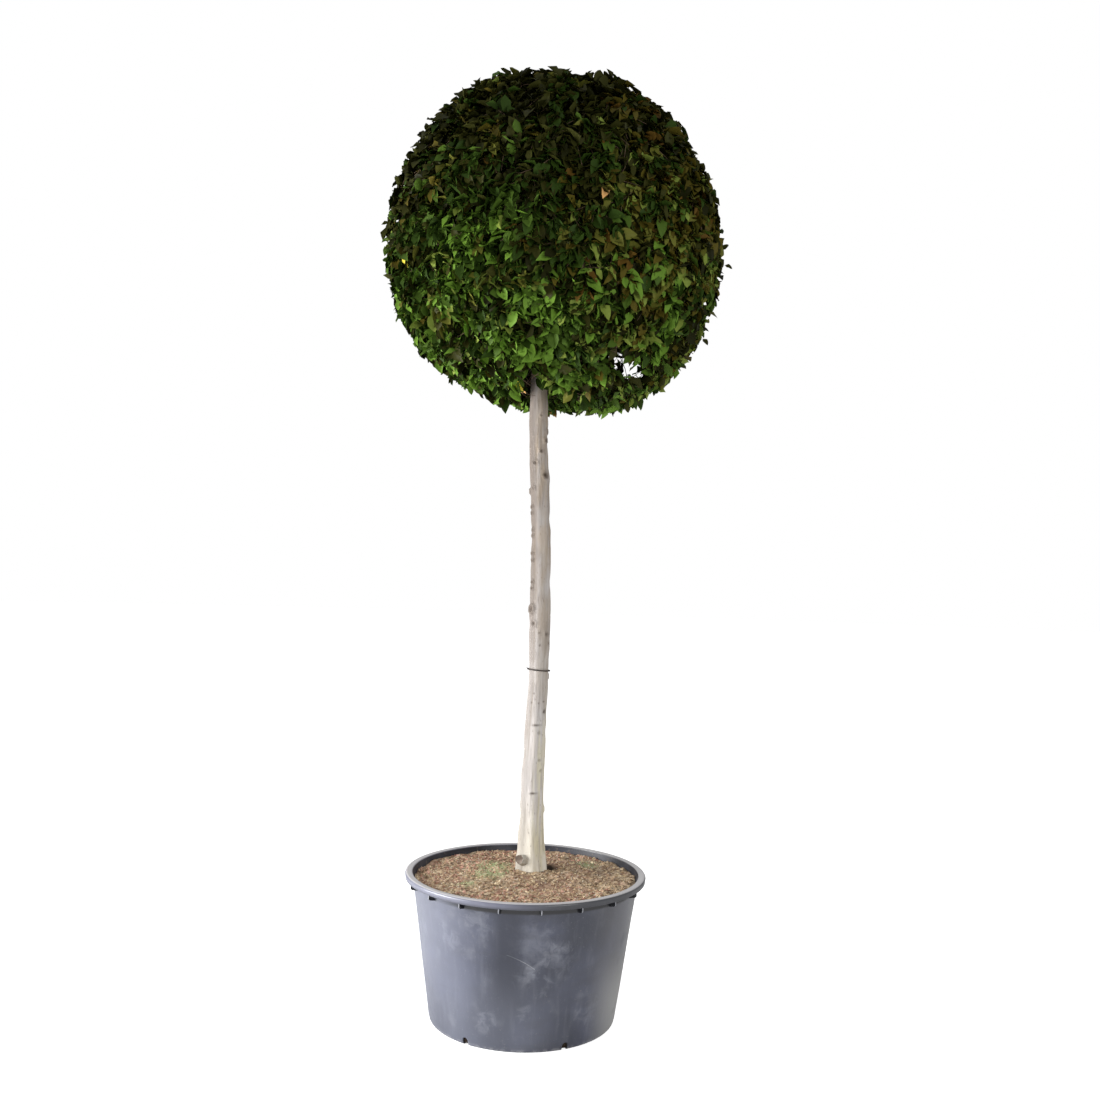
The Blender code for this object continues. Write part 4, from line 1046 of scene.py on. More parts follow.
def scatter_tree():
    """Strews turned and resized copies of a small shape over a surface, thickest where its cover is."""
    inputs = {
        "Geometry": "Geometry",
        "Shape": "Object",
        "Cover": "String",
        "Density": "Float",
        "Smallest": "Vector",
        "Largest": "Vector",
        "Tumble": "Float",
        "Raised": "Float",
        "Seed": "Int",
        "Finish": "Material",
    }
    nodes, given = node_group("Geometry", "strewn_pieces", inputs, {"Geometry": "Geometry"})

    def at_random(least, most):
        feeds = {0: least, 1: most, "Seed": given["Seed"]}
        return nodes.add("FunctionNodeRandomValue", feeds, data_type="FLOAT_VECTOR")

    cover = nodes.add("GeometryNodeInputNamedAttribute", {"Name": given["Cover"]}, data_type="FLOAT")
    density = nodes.times(cover, given["Density"])
    feeds = {"Mesh": given["Geometry"], "Density": density, "Seed": given["Seed"]}
    points = nodes.add("GeometryNodeDistributePointsOnFaces", feeds, distribute_method="RANDOM")
    tumble, lean = given["Tumble"], nodes.times(given["Tumble"], -1.0)
    low = nodes.add("ShaderNodeCombineXYZ", {"X": lean, "Y": lean, "Z": 0.0})
    high = nodes.add("ShaderNodeCombineXYZ", {"X": tumble, "Y": tumble, "Z": math.tau})
    feeds = {
        "Points": points,
        "Instance": nodes.add("GeometryNodeObjectInfo", {"Object": given["Shape"]}, "Geometry"),
        "Rotation": at_random(low, high),
        "Scale": at_random(given["Smallest"], given["Largest"]),
    }
    placed = nodes.add("GeometryNodeInstanceOnPoints", feeds)
    return nodes.solid_result(placed, given["Finish"], given["Raised"])


def flake_shape():
    """A flat splinter with broken ends, one unit long."""
    shape = bmesh.new()
    bmesh.ops.create_icosphere(shape, subdivisions=1, radius=0.5)
    draw = np.random.default_rng(SEED)
    for vertex in shape.verts:
        vertex.co += Vector(draw.uniform(-0.12, 0.12, 3))
    return add_object("flake", smoothed(shape, "flake", 20))


def tuft_shape():
    """A tuft of moss: a few blades that lean apart, one unit high."""
    shape = bmesh.new()
    for turn in range(4):
        blade = bmesh.ops.create_cone(shape, segments=3, radius1=0.10, radius2=0.0, depth=1.0)["verts"]
        bmesh.ops.translate(shape, vec=(0, 0, 0.4), verts=blade)
        lean = Matrix.Rotation(math.radians(28), 4, "X")
        bmesh.ops.transform(shape, matrix=Matrix.Rotation(math.tau * turn / 4, 4, "Z") @ lean, verts=blade)
    return add_object("tuft", smoothed(shape, "tuft", 20))


def make_mix():
    bed = make_mix_bed(mix_material())
    flake, tuft = flake_shape(), tuft_shape()
    tree = scatter_tree()
    strewn = (
        ("chips_brown", flake, "cover", 4000, (0.005, 0.004, 0.002), (0.018, 0.013, 0.006), 0.6, 0.0010,
         (0.215, 0.138, 0.084), (0.660, 0.480, 0.310)),
        ("chips_tan", flake, "cover", 2500, (0.004, 0.004, 0.001), (0.013, 0.010, 0.005), 0.7, 0.0018,
         (0.600, 0.440, 0.260), (0.880, 0.740, 0.510)),
        ("chips_red", flake, "reddish", 4600, (0.005, 0.004, 0.001), (0.017, 0.012, 0.006), 0.6, 0.0014,
         (0.370, 0.180, 0.130), (0.730, 0.440, 0.330)),
        ("grit", flake, "cover", 2200, (0.0015, 0.0015, 0.001), (0.005, 0.005, 0.004), 1.5, 0.0020,
         (0.620, 0.530, 0.420), (0.880, 0.820, 0.720)),
        ("moss", tuft, "mossy", 24000, (0.004, 0.004, 0.004), (0.009, 0.009, 0.009), 0.5, 0.0004,
         (0.420, 0.480, 0.250), (0.740, 0.790, 0.530)),
    )
    for seed, (name, shape, cover, density, least, most, tumble, raised, dark, light) in enumerate(strewn):
        values = {
            "Shape": shape,
            "Cover": cover,
            "Density": float(density),
            "Smallest": least,
            "Largest": most,
            "Tumble": tumble,
            "Raised": raised,
            "Seed": seed + SEED,
            "Finish": crumb_material(name, dark, light),
        }
        dress(grown(name, bed, tree, values), "potting_mix")
    for shape in (flake, tuft):
        bpy.data.objects.remove(shape, do_unlink=True)
    dress(bed, "potting_mix", "potting_mix")


# ---- trunk and its tie


def trunk_centres(heights):
    """The trunk's centre line at an array of heights."""
    shares = (heights - TRUNK_FOOT.z) / (TRUNK_FORK - TRUNK_FOOT.z)
    across = np.array([curve_through(TRUNK_SWAY, share) for share in shares])
    back = TRUNK_FOOT.y + (CROWN_CENTRE[1] - TRUNK_FOOT.y) * shares
    return np.stack((across, back, heights), axis=-1)


def trunk_radii(heights):
    """The taper, the root flare at the foot, and the swelling under the fork."""
    rise = heights - TRUNK_FOOT.z
    share = rise / (TRUNK_FORK - TRUNK_FOOT.z)
    plain = TRUNK_RADIUS_FOOT + (TRUNK_RADIUS_FORK - TRUNK_RADIUS_FOOT) * share**2.5
    swell = FORK_SWELL * np.exp(-(((TRUNK_FORK - 0.02 - heights) / 0.05) ** 2))
    waist = 0.0011 * np.sin(9 * share + 17 * share * share)
    return plain + FLARE * np.exp(-rise / FLARE_LENGTH) + swell + waist


def trunk_flutes(heights, angles):
    """The muscled cross-section, which twists slowly up the trunk."""
    turn = FLUTES * angles + 1.9 * heights
    depth = FLUTE_DEPTH * (0.45 + 0.55 * smooth_step(1.6, 0.9, heights))
    return 1 + depth * (np.sin(turn) + 0.6 * np.sin(2 * angles - 2.3 * heights))


def scar_relief(heights, angles, radii):
    """How far the scars stand out of the bark or into it, and how dark they make it."""
    relief, stain = np.zeros_like(heights), np.zeros_like(heights)
    for place, degrees, radius, tall, rim, hollow, dark in SCARS:
        turn = (angles - math.radians(degrees) + math.pi) % math.tau - math.pi
        away = np.hypot(turn * radii, (heights - place) / tall) / radius
        away = away * (1 + 0.18 * noise_at(np.stack((heights * 160, angles * 5, away), axis=-1), SEED))
        relief += rim * np.exp(-(((away - 0.9) / 0.45) ** 2)) - hollow * np.exp(-((away / 0.62) ** 2))
        stain = np.maximum(stain, dark * np.exp(-((away / 0.80) ** 2)))
    return relief, stain


def make_stub(finish, sawn):
    """The stump of a sawn branch: a collar of bark round a cut face that is a little hollow."""
    height, degrees, radius, length = STUB
    level = np.array([height])
    out = from_front(math.radians(degrees))
    aim = unit(out + np.array((0, 0, 0.25)))
    foot = trunk_centres(level)[0] + out * (trunk_radii(level)[0] - radius * 0.7)
    side = unit(np.cross(aim, (0, 0, 1)))
    up = np.cross(side, aim)
    turns = np.arange(STUB_SIDES) * math.tau / STUB_SIDES
    circle = side * np.cos(turns)[:, None] + up * np.sin(turns)[:, None] * 0.88
    uneven = 1 + 0.07 * np.sin(3 * turns + 1) + 0.05 * np.sin(7 * turns)
    reach_out = radius * 0.7 + length
    profile = ((0.0, 1.35), (0.45, 1.12), (0.85, 1.06), (1.0, 0.96), (0.97, 0.80), (0.90, 0.62), (0.88, 0.30))
    rings = []
    for along, wide in profile:
        rings.append(foot + aim * along * reach_out + circle * (radius * wide * uneven)[:, None])
    deal = np.concatenate((np.repeat((0, 0, 0, 1, 1, 1), STUB_SIDES), (0, 1)))
    stub = ringed_piece("trunk_stub", rings, [finish, sawn], deal)
    store(stub, "stain", np.full(len(rings) * STUB_SIDES, 0.45))
    dress(stub, "bark")


def make_trunk(finish, sawn):
    """The trunk as a fine net of rings with furrows, fibres and scars."""
    heights = np.linspace(TRUNK_FOOT.z, TRUNK_FORK, TRUNK_RINGS)
    angles = np.arange(TRUNK_SIDES) * math.tau / TRUNK_SIDES
    high, turn = np.meshgrid(heights, angles, indexing="ij")
    radii = trunk_radii(heights)[:, None] * trunk_flutes(high, turn)
    out = from_front(turn)
    spots = out * radii[..., None] + (0, 0, 1) * high[..., None]
    ridges = layered_noise(spots * (95, 95, 6), SEED + 20, 3)
    furrows = np.clip(-ridges - 0.25, 0, 1)
    fibres = layered_noise(spots * (330, 330, 34), SEED + 30, 2)
    relief, stain = scar_relief(high, turn, radii)
    bark = ridges * FURROW_DEPTH * 0.6 - furrows * FURROW_DEPTH + fibres * GRAIN_DEPTH
    bark += layered_noise(spots * (14, 14, 13), SEED + 40, 2) * KNUCKLES
    tied = np.exp(-(((high - TIE_HEIGHT) / 0.008) ** 2))
    bark = bark * (1 - tied) - FURROW_DEPTH * tied
    points = trunk_centres(heights)[:, None] + out * (radii + bark + relief)[..., None]
    trunk = ringed_piece("trunk_bark", points, [finish])
    make_stub(finish, sawn)
    right, front = np.sin(turn), np.cos(turn)
    lichen = smooth_step(1.35, 0.75, high) * smooth_step(-0.2, 0.5, right) * smooth_step(-0.3, 0.4, front)
    # The left side, more so higher up, is marked for painted shade.
    left_shade = smooth_step(0.05, -0.70, right) * (0.55 + 0.45 * smooth_step(1.15, 1.70, high))
    wavy = np.sin(turn + 0.15) + layered_noise(spots * (18, 18, 5), SEED + 45, 2) * 0.45
    store(trunk, "stain", stain)
    # The furrows' depth, for painted shade in them.
    store(trunk, "furrow", np.clip(furrows * 0.6, 0, 0.35))
    store(trunk, "lichen", lichen)
    store(trunk, "left_side_shade", left_shade)
    store(trunk, "tan", smooth_step(-0.25, 0.45, wavy) * (0.35 + 0.65 * smooth_step(0.9, 1.7, high)))
    dress(trunk, "bark", "trunk")


def tie_points(angles, out_by):
    """The middle of the wire, on the trunk's flutes, in a plane that tilts up to the right."""
    heights = TIE_HEIGHT - 0.03 * math.sin(TIE_TILT) * np.sin(angles)
    around = np.max([trunk_flutes(heights, angles + a) for a in (-0.25, 0, 0.25)], axis=0)
    radii = trunk_radii(heights) * around + out_by
    return trunk_centres(heights) + from_front(angles) * radii[:, None]


def make_tie(finish):
    """Two thin wires twisted together round the trunk, with the tails of their knot at the left."""
    angles = TIE_KNOT + np.linspace(0.01, math.tau - 0.01, TIE_STEPS)
    middle = tie_points(angles, TIE_WIRE * 1.7 + 2 * TOUCH)
    out = from_front(angles)
    twist = np.linspace(0, math.tau * TIE_TWISTS, TIE_STEPS)[:, None]
    strand = TIE_WIRE * 0.85
    paths = []
    for start in (0, math.pi):
        swing = out * np.cos(twist + start) + np.array((0, 0, 1)) * np.sin(twist + start)
        paths.append(middle + swing * strand)
    parts = [limbs(np.array(paths), np.full((2, TIE_STEPS), strand), TIE_SIDES)]
    knot = tie_points(np.array([TIE_KNOT]), TIE_WIRE)[0]
    away = from_front(TIE_KNOT)
    for lean, side in ((0.9, 0.002), (1.6, -0.002)):
        direction = unit(away + np.array((0, side * 60, lean)))
        tail = bend(knot - away * TIE_WIRE, knot + away * 0.006, knot + direction * TIE_TAIL, 6)
        parts.append(limbs(tail[None], tapers(1, 6, (TIE_WIRE * 0.9, TIE_WIRE * 0.6)), KNOT_SIDES))
    lump = bend(knot - (0, 0.003, 0.001), knot + away * 0.004, knot + (0, 0.003, 0.001), 7)
    parts.append(limbs(lump[None], np.full((1, 7), TIE_WIRE * 0.9), KNOT_SIDES))
    points, faces = joined(parts)
    dress(piece_from("tie_strands", points, faces, [finish]), "tie_wire", "trunk_tie")


# ---- crown: its outline and its spaces


def reach(directions):
    """How far the clipped outline is from the crown's centre in each direction."""
    level = np.hypot(directions[..., 0], directions[..., 1]) / CROWN_RADIUS
    rise = np.abs(directions[..., 2]) / CROWN_HALF_HEIGHT
    n = CROWN_SQUARENESS
    swell = 1.0
    for turn, width, height in CROWN_SWELLS:
        angle = math.radians(turn)
        forward = SEEN_FROM_BELOW[0] * math.cos(angle) + SEEN_FROM_BELOW[1]
        place = unit(np.array((math.sin(angle), -forward, math.cos(angle))))
        away = np.arccos(np.clip(directions @ place, -1, 1))
        swell = swell + height * np.exp(-((away / math.radians(width)) ** 2))
    return ((level**n + rise**n) ** (-1 / n) * swell)[..., None]


def direction_at(polar, azimuth):
    """The direction at an angle down from the top and an angle from the front."""
    level = np.sin(polar)
    return np.stack((np.sin(azimuth) * level, -np.cos(azimuth) * level, np.cos(polar)), axis=-1)


def on_crown(directions, share):
    return CROWN_CENTRE + directions * reach(directions) * share


def mass_of(directions):
    """The number of the mass that each direction points to; the last one is the top."""
    polar = np.arccos(np.clip(directions[..., 2], -1, 1))
    azimuth = np.arctan2(directions[..., 0], -directions[..., 1])
    side = np.round(azimuth / math.tau * len(MASS_NAMES)).astype(int) % len(MASS_NAMES)
    return np.where(polar < TOP_POLAR, len(MASS_NAMES), side)


def in_sky_hole(points):
    """True for points on a line of sight through one of the see-through places, which have ragged edges."""
    inside = np.zeros(points.shape[:-1], bool)
    eye = np.array(VIEW_FROM)
    for spot, half_width, half_height in SKY_HOLES:
        along = unit(np.array(spot) - eye)
        across = unit(np.cross(along, (0, 0, 1)))
        away = np.linalg.norm(np.array(spot) - eye)
        offset = (points - eye) * (away / dot(points - eye, along))
        level = dot(offset, across)[..., 0] / half_width
        rise = dot(offset, np.cross(across, along))[..., 0] / half_height
        place = np.stack((level * half_width, rise * half_height, level * 0), axis=-1) * SKY_FRET
        inside |= np.hypot(level, rise) < 1 + 0.9 * noise_at(place, SEED + 2)
    return inside


def in_space(points, edge):
    """True where leaves may grow: inside the outline, above the opening, and clear of the trunk."""
    offset = points - CROWN_CENTRE
    distance = np.linalg.norm(offset, axis=-1)
    share = distance / reach(unit(offset))[..., 0]
    azimuth = np.arctan2(offset[..., 0], -offset[..., 1])
    opening = (OPEN_FRONT + OPEN_BACK) / 2 + (OPEN_FRONT - OPEN_BACK) / 2 * np.cos(azimuth)
    polar = np.arccos(np.clip(offset[..., 2] / distance, -1, 1))
    across = points[..., 0] - TRUNK_SWAY[-1][1]
    back, height = points[..., 1] - CROWN_CENTRE[1], points[..., 2]
    clear = (np.hypot(across, back) > TRUNK_RADIUS_FORK + TRUNK_CLEAR) | (height > CROWN_CENTRE[2])
    before = (np.abs(across) < SHOWN_HALF_WIDTH) & (back < 0)
    lowest = TRUNK_SHOWN[0] + (TRUNK_SHOWN[1] - TRUNK_SHOWN[0]) * smooth_step(-0.01, 0.02, across)
    clear &= ~(before & (height < lowest))
    return (share > LEAF_FLOOR) & (share < edge) & (polar < opening) & clear


# ---- crown: boughs, branches and twigs


def bough_path(index):
    """A bough's centre line, as in the source, carried on into the mass that it feeds."""
    if index == len(MASS_NAMES):
        start = trunk_centres(np.array([TRUNK_FORK]))[0] + (0, 0, TOUCH * 2)
        end = on_crown(direction_at(math.radians(4), 0.6), CORE_IN) - (0, 0, STEM_LENGTH)
        return bend(start, start + (0, 0, 0.35), end, BOUGH_STEPS)
    azimuth = math.tau * index / len(MASS_NAMES)
    inside = on_crown(direction_at(BOUGH_END_POLAR, azimuth), CORE_IN)
    end = inside - unit(inside - CROWN_CENTRE) * STEM_LENGTH
    start = trunk_centres(np.array([CROWN_CENTRE[2] - BOUGH_FORKS[index]]))[0]
    knee = start * 0.45 + end * 0.55 - (0, 0, BOUGH_SAG)
    return bend(start, knee, end, BOUGH_STEPS)


def even_directions(count):
    """Directions spread evenly over a ball, in a golden spiral."""
    number = np.arange(count)
    return direction_at(np.arccos(1 - 2 * (number + 0.5) / count), number * GOLDEN_ANGLE)


def nearest(points, choices):
    """For each point, the number of the nearest choice."""
    return np.array([np.argmin(((choices - point) ** 2).sum(axis=1)) for point in points])


def wandering(paths, draw, amount):
    """Lets limbs stray from their curves, more in the middle than at their ends."""
    steps = paths.shape[1]
    sway = np.sin(np.linspace(0, math.pi, steps))[None, :, None]
    return paths + sway * draw.uniform(-amount, amount, (len(paths), 1, 3))


def grow_branches(draw):
    """The branches of every mass, from its bough to places just inside its leaves."""
    directions = even_directions(BRANCHES)
    ends = on_crown(directions, BRANCH_SHARE * draw.uniform(0.92, 1.05, (BRANCHES, 1)))
    masses = mass_of(directions)
    keep = ends[:, 2] >= CROWN_CENTRE[2] - BRANCH_DROP
    paths = []
    for end, mass in zip(ends, masses):
        bough = bough_path(mass)[BOUGH_STEPS // 3 :]
        height = (bough[:, 2] - end[2] + 0.10) ** 2
        start = bough[np.argmin(((bough - end) ** 2).sum(axis=1) * 0.6 + height)]
        middle = start * 0.5 + end * 0.5 + np.array((0, 0, -0.04)) + (end - CROWN_CENTRE) * 0.08
        paths.append(bend(start, middle, end, BRANCH_STEPS))
    return wandering(np.array(paths), draw, BRANCH_STRAY)[keep], masses[keep]


def grow_sprays(draw):
    """The outermost twigs: their paths, their masses and their layers."""
    out = unit(even_directions(SPRAYS) + draw.normal(0, 0.016, (SPRAYS, 3)))
    layer = np.arange(SPRAYS) % len(SPRAY_LAYERS)
    heights = np.array(SPRAY_LAYERS)[layer]
    wild = draw.normal(0, 1, (SPRAYS, 3))
    wild = unit(wild - out * dot(wild, out))
    down = np.array((0, 0, -1)) + out * out[:, 2:]
    across = wild + down * SPRAY_DROOP
    across = unit(across - out * dot(across, out))
    length = SPRAY_LENGTH * draw.uniform(0.8, 1.15, SPRAYS)
    spots = []
    for share in np.linspace(0, 1, SPRAY_STEPS):
        turn = (length * share / CROWN_RADIUS)[:, None]
        direction = out * np.cos(turn) + across * np.sin(turn)
        risen = np.where(
            share < SPRAY_BEND,
            heights[:, 0] + (heights[:, 1] - heights[:, 0]) * share / SPRAY_BEND,
            heights[:, 1] + (heights[:, 2] - heights[:, 1]) * (share - SPRAY_BEND) / (1 - SPRAY_BEND),
        )
        spots.append(CROWN_CENTRE + direction * reach(direction) * risen[:, None])
    paths = np.stack(spots, axis=1)
    across_sky = in_sky_hole(paths).any(axis=1) & (draw.random(SPRAYS) > STRAY_TWIGS)
    fits = in_space(paths[:, 0], 1.0) & in_space(paths[:, 2], 1.0) & ~across_sky
    return paths[fits], mass_of(out[fits]), layer[fits]


def twigs_between(branches, branch_masses, sprays, spray_masses, draw):
    """Twigs that join each spray's root to the outer half of the nearest branch of its mass."""
    starts = np.zeros((len(sprays), 3))
    for mass in range(len(MASS_NAMES) + 1):
        mine = np.flatnonzero(spray_masses == mass)
        carriers = branches[branch_masses == mass][:, BRANCH_STEPS // 2 :].reshape(-1, 3)
        starts[mine] = carriers[nearest(sprays[mine, 0], carriers)]
    ends = sprays[:, 0]
    middle = starts * 0.45 + ends * 0.55 + draw.uniform(-0.012, 0.012, starts.shape)
    twigs = bend(starts, middle, ends, TWIG_STEPS)
    clear = ~in_sky_hole(bend(starts, middle, ends, 12)).any(axis=1)
    return twigs[clear], spray_masses[clear]


# ---- crown: leaves


def leaf_frames(sprays, draw):
    """Where the leaves of every spray sit: base, heading, upper side, length, and the spray of each."""
    bases, headings, faces, owners = [], [], [], []
    side = draw.choice((-1.0, 1.0), len(sprays))
    lift = draw.uniform(*LEAF_RISE, (len(sprays), 1))
    roll = draw.normal(0, 0.35, (len(sprays), 1))
    for share in LEAVES_UP_TWIG:
        step = share * (SPRAY_STEPS - 1)
        first = min(int(step), SPRAY_STEPS - 2)
        part = step - first
        base = sprays[:, first] * (1 - part) + sprays[:, first + 1] * part
        along = unit(sprays[:, first + 1] - sprays[:, first])
        outward = unit(base - CROWN_CENTRE)
        across = unit(np.cross(outward, along))
        last = share == 1.0
        spread = (LEAF_SPREAD * draw.uniform(0.6, 1.3, len(sprays)) * side * (not last))[:, None]
        high = smooth_step(0.35, 0.85, outward[:, 2:])
        rise = outward * (lift + draw.uniform(-0.2, 0.2, lift.shape)) * (1 + 0.6 * high)
        hang = np.array((0, 0, -LEAF_HANG)) * (1 - high)
        heading = unit(along * np.cos(spread) + across * np.sin(spread) + rise + hang)
        lean = across * (roll + draw.normal(0, 0.22, roll.shape))
        face = outward * (1.15 - LEAF_LEVEL) + (0, 0, LEAF_LEVEL) - along * LEAF_TILT * (not last) + lean
        bases.append(base)
        headings.append(heading)
        faces.append(face)
        owners.append(np.arange(len(sprays)))
        side = -side
    return np.concatenate(bases), np.concatenate(headings), np.concatenate(faces), np.concatenate(owners)


def ragged_edge(points, draw):
    """The share of the reach that leaves may take, which the shears left a little uneven."""
    directions = unit(points - CROWN_CENTRE)
    single = draw.uniform(-TIP_RAGGED, TIP_RAGGED, len(points))
    waves = noise_at(directions * 7, SEED + 5) * 0.7 + noise_at(directions * 16, SEED + 6) * 1.3
    hollows = smooth_step(0.15, 0.60, noise_at(directions * 9, SEED + 7)) * HOLLOW_PLACES
    return EDGE_SHARE + EDGE_RAGGED * waves + single - hollows


def fitted_leaves(sprays, draw):
    """The leaves that keep to the crown's outline: their frames and lengths, and the spray of each.

    One that would stand too proud is laid flatter or made shorter.
    """
    base, heading, face, owner = leaf_frames(sprays, draw)
    length = LEAF_LENGTH * draw.uniform(0.70, 1.14, len(base))[:, None]
    outward = unit(base - CROWN_CENTRE)
    edge = ragged_edge(base, draw)
    short = draw.random((len(base), 1)) < SHORT_LEAVES
    for _ in range(3):
        tip = base + heading * length
        share = np.linalg.norm(tip - CROWN_CENTRE, axis=1) / reach(unit(tip - CROWN_CENTRE))[:, 0]
        proud = (share > edge)[:, None]
        flatter = unit(heading - outward * (dot(heading, outward) * 0.75 + 0.05))
        heading = np.where(proud & ~short, flatter, heading)
        length = np.where(proud & short, length * SHORTENED, length)
    fits = in_space(base, 1.0) & in_space(base + heading * length, edge + 0.006)
    fits &= in_space(base + heading * length * 0.5, edge + 0.01)
    ribs = base[:, None] + heading[:, None] * length[:, None] * np.linspace(0, 1, 4)[:, None]
    fits &= ~in_sky_hole(ribs).any(axis=1) | (draw.random(len(base)) < STRAY_LEAVES)
    sideways = unit(np.cross(face, heading))
    upper = np.cross(heading, sideways)
    return [values[fits] for values in (base, heading, sideways, upper, length)], owner[fits]


def leaf_arrays(base, heading, sideways, upper, length, draw):
    """Pointed oval leaves, folded along the rib, rippled at the edge and dropped at the tip."""
    count = len(base)
    fold = LEAF_FOLD * draw.uniform(0.2, 1.6, (count, 1))
    curl = LEAF_CURL * draw.uniform(-0.3, 2.4, (count, 1))
    width = LEAF_WIDTH / LEAF_LENGTH * length * draw.uniform(0.88, 1.10, (count, 1)) / 2
    skew = draw.uniform(-0.12, 0.12, (count, 1))

    def spot(along, wide, ripple):
        drop = curl * along**2 * length
        lift = fold * abs(wide) * width * 2 + ripple * length
        bow = skew * along * along * length
        return base + heading * along * length + sideways * (wide * width + bow) + upper * (lift - drop)

    spots = [spot(0.0, 0.0, 0.0)]
    for i, (along, half) in enumerate(LEAF_STATIONS):
        ripple = LEAF_RIPPLE * (-1) ** i * half
        spots += [spot(along, half, ripple), spot(along, 0.0, 0.0), spot(along, -half, -ripple)]
    spots.append(spot(1.0, 0.0, 0.0))
    points = np.stack(spots, axis=1)
    size = len(spots)
    start = np.arange(count)[:, None, None] * size
    last = size - 1
    tips = [(0, 2, 1), (0, 3, 2), (last - 3, last - 2, last), (last - 2, last - 1, last)]
    panes = []
    for i in range(len(LEAF_STATIONS) - 1):
        left = 1 + 3 * i
        panes += [(left, left + 1, left + 4, left + 3), (left + 1, left + 2, left + 5, left + 4)]
    quads = (start + np.array(panes)).reshape(-1, 4)
    triangles = (start + np.array(tips)).reshape(-1, 3)
    return points.reshape(-1, 3), quads, triangles


def tint_weights(places, layers):
    """How likely each plain tint is at each spray: bronze to the right; dark tints above, in the hollows, on
    the inner layer and low on the right as painted shade; bright ones below as painted light.
    """
    across = (places[:, 0] - CROWN_CENTRE[0]) / CROWN_RADIUS
    high = (places[:, 2] - CROWN_CENTRE[2]) / CROWN_HALF_HEIGHT
    drift = noise_at(places * 5, SEED + 8) * 0.35
    top = smooth_step(-0.15, 0.70, high + drift * 0.5)
    right = smooth_step(0.05, 0.95, across + drift + high * 0.25)
    low = smooth_step(0.16, -0.50, high + drift)
    hollow = smooth_step(0.10, 0.55, noise_at(unit(places - CROWN_CENTRE) * 9, SEED + 7))
    inner = (layers == len(SPRAY_LAYERS) - 1) * 1.0
    # The darkest tints stand for painted shade at the top, in the hollows, on the inner layer and low on the
    # right; the bright greens low down stand for painted light.
    weights = np.stack(
        (
            0.12 + 0.45 * top * (1 - 0.6 * right) + 0.80 * inner + 1.4 * hollow + 1.4 * low * right,
            0.55 + 1.90 * top + 0.5 * hollow,
            1.35 - 1.00 * top - 0.75 * right * (1 - top) + 0.30 * inner - 0.25 * low,
            0.40 * (1 - top) * (1 - 0.4 * right) + 0.60 * low * (1 - 0.6 * right) + 0.01,
            1.70 * low**1.5 * (1 - 0.75 * right) * (1 - inner) * (1 - 0.8 * hollow) + 0.01 * (1 - top),
            0.01 + 0.55 * (1 - top) * right + (0.36 + 0.64 * right) * low * (1 - hollow),
            0.03 + 1.00 * right * (1 - 0.85 * top) + 0.15 * low,
            0.04 + 1.20 * right * (1 - 0.35 * top) + 0.18 * top,
            0.01 + 0.35 * right * (0.4 + top),
        ),
        axis=1,
    )
    return weights / weights.sum(axis=1, keepdims=True)


def grow_sprigs():
    """The few twigs that the shears missed, each with a small leaf that stands out of the outline."""
    turns, shares, headings = np.array(SPRIGS).T
    flat = np.zeros(len(SPRIGS))
    out = np.stack((np.sin(np.radians(turns)), flat, np.cos(np.radians(turns))), axis=1)
    heading = unit(np.stack((np.sin(np.radians(headings)), flat - 0.2, np.cos(np.radians(headings))), axis=1))
    steps = [on_crown(out, 0.90 + (shares - 0.90)[:, None] * part) for part in np.linspace(0, 1, SPRAY_STEPS)]
    sideways = unit(np.cross((0, -1.0, 0.5), heading))
    lengths = np.full((len(SPRIGS), 1), SPRIG_LEAF)
    leaves = (steps[-1], heading, sideways, np.cross(heading, sideways), lengths)
    return np.stack(steps, axis=1), mass_of(out), leaves


def deal_tints(owner, places, layers, draw):
    """A tint for each spray, and now and then a different one for a single leaf of it."""
    limits = np.cumsum(tint_weights(places, layers), axis=1)
    of_spray = (draw.random(len(places))[:, None] > limits).sum(axis=1)
    of_leaf = (draw.random(len(owner))[:, None] > limits[owner]).sum(axis=1)
    odd = draw.random(len(owner)) < ODD_LEAVES
    return np.where(odd, of_leaf, of_spray[owner]).clip(0, PLAIN_TINTS - 1)


def tint_number(name):
    return list(LEAF_TINTS).index(name)


def turn_single_leaves(tints, leaves):
    """Gives the few leaves that have turned their own tint: those that show at the places of the table."""
    base, heading, _, upper, length = leaves
    middle = base + heading * length * 0.5 - np.array(VIEW_FROM)
    for x, z, tint in TURNED_LEAVES:
        rise = abs(z - CROWN_CENTRE[2]) / CROWN_HALF_HEIGHT
        half_width = CROWN_RADIUS * (1 - rise**CROWN_SQUARENESS) ** (1 / CROWN_SQUARENESS)
        front = CROWN_CENTRE[1] - math.sqrt(half_width**2 - (x - CROWN_CENTRE[0]) ** 2)
        sight = unit(np.array((x, front, z)) - np.array(VIEW_FROM))
        away = middle @ sight
        aside = np.linalg.norm(middle - away[:, None] * sight, axis=1)
        hidden = away - np.abs(upper @ sight) * 0.03 + (aside > TURNED_WITHIN) * 9
        tints[np.argmin(hidden)] = tint_number(tint)


def make_limbs(name, finish, kinds, *nodes):
    """One piece of limbs: for each kind their paths, the radii at their foot and tip, and how many sides."""
    parts = [limbs(paths, tapers(len(paths), paths.shape[1], ends), sides) for paths, ends, sides in kinds]
    points, faces = joined(parts)
    dress(piece_from(name, points, faces, [finish]), "bark", *nodes)


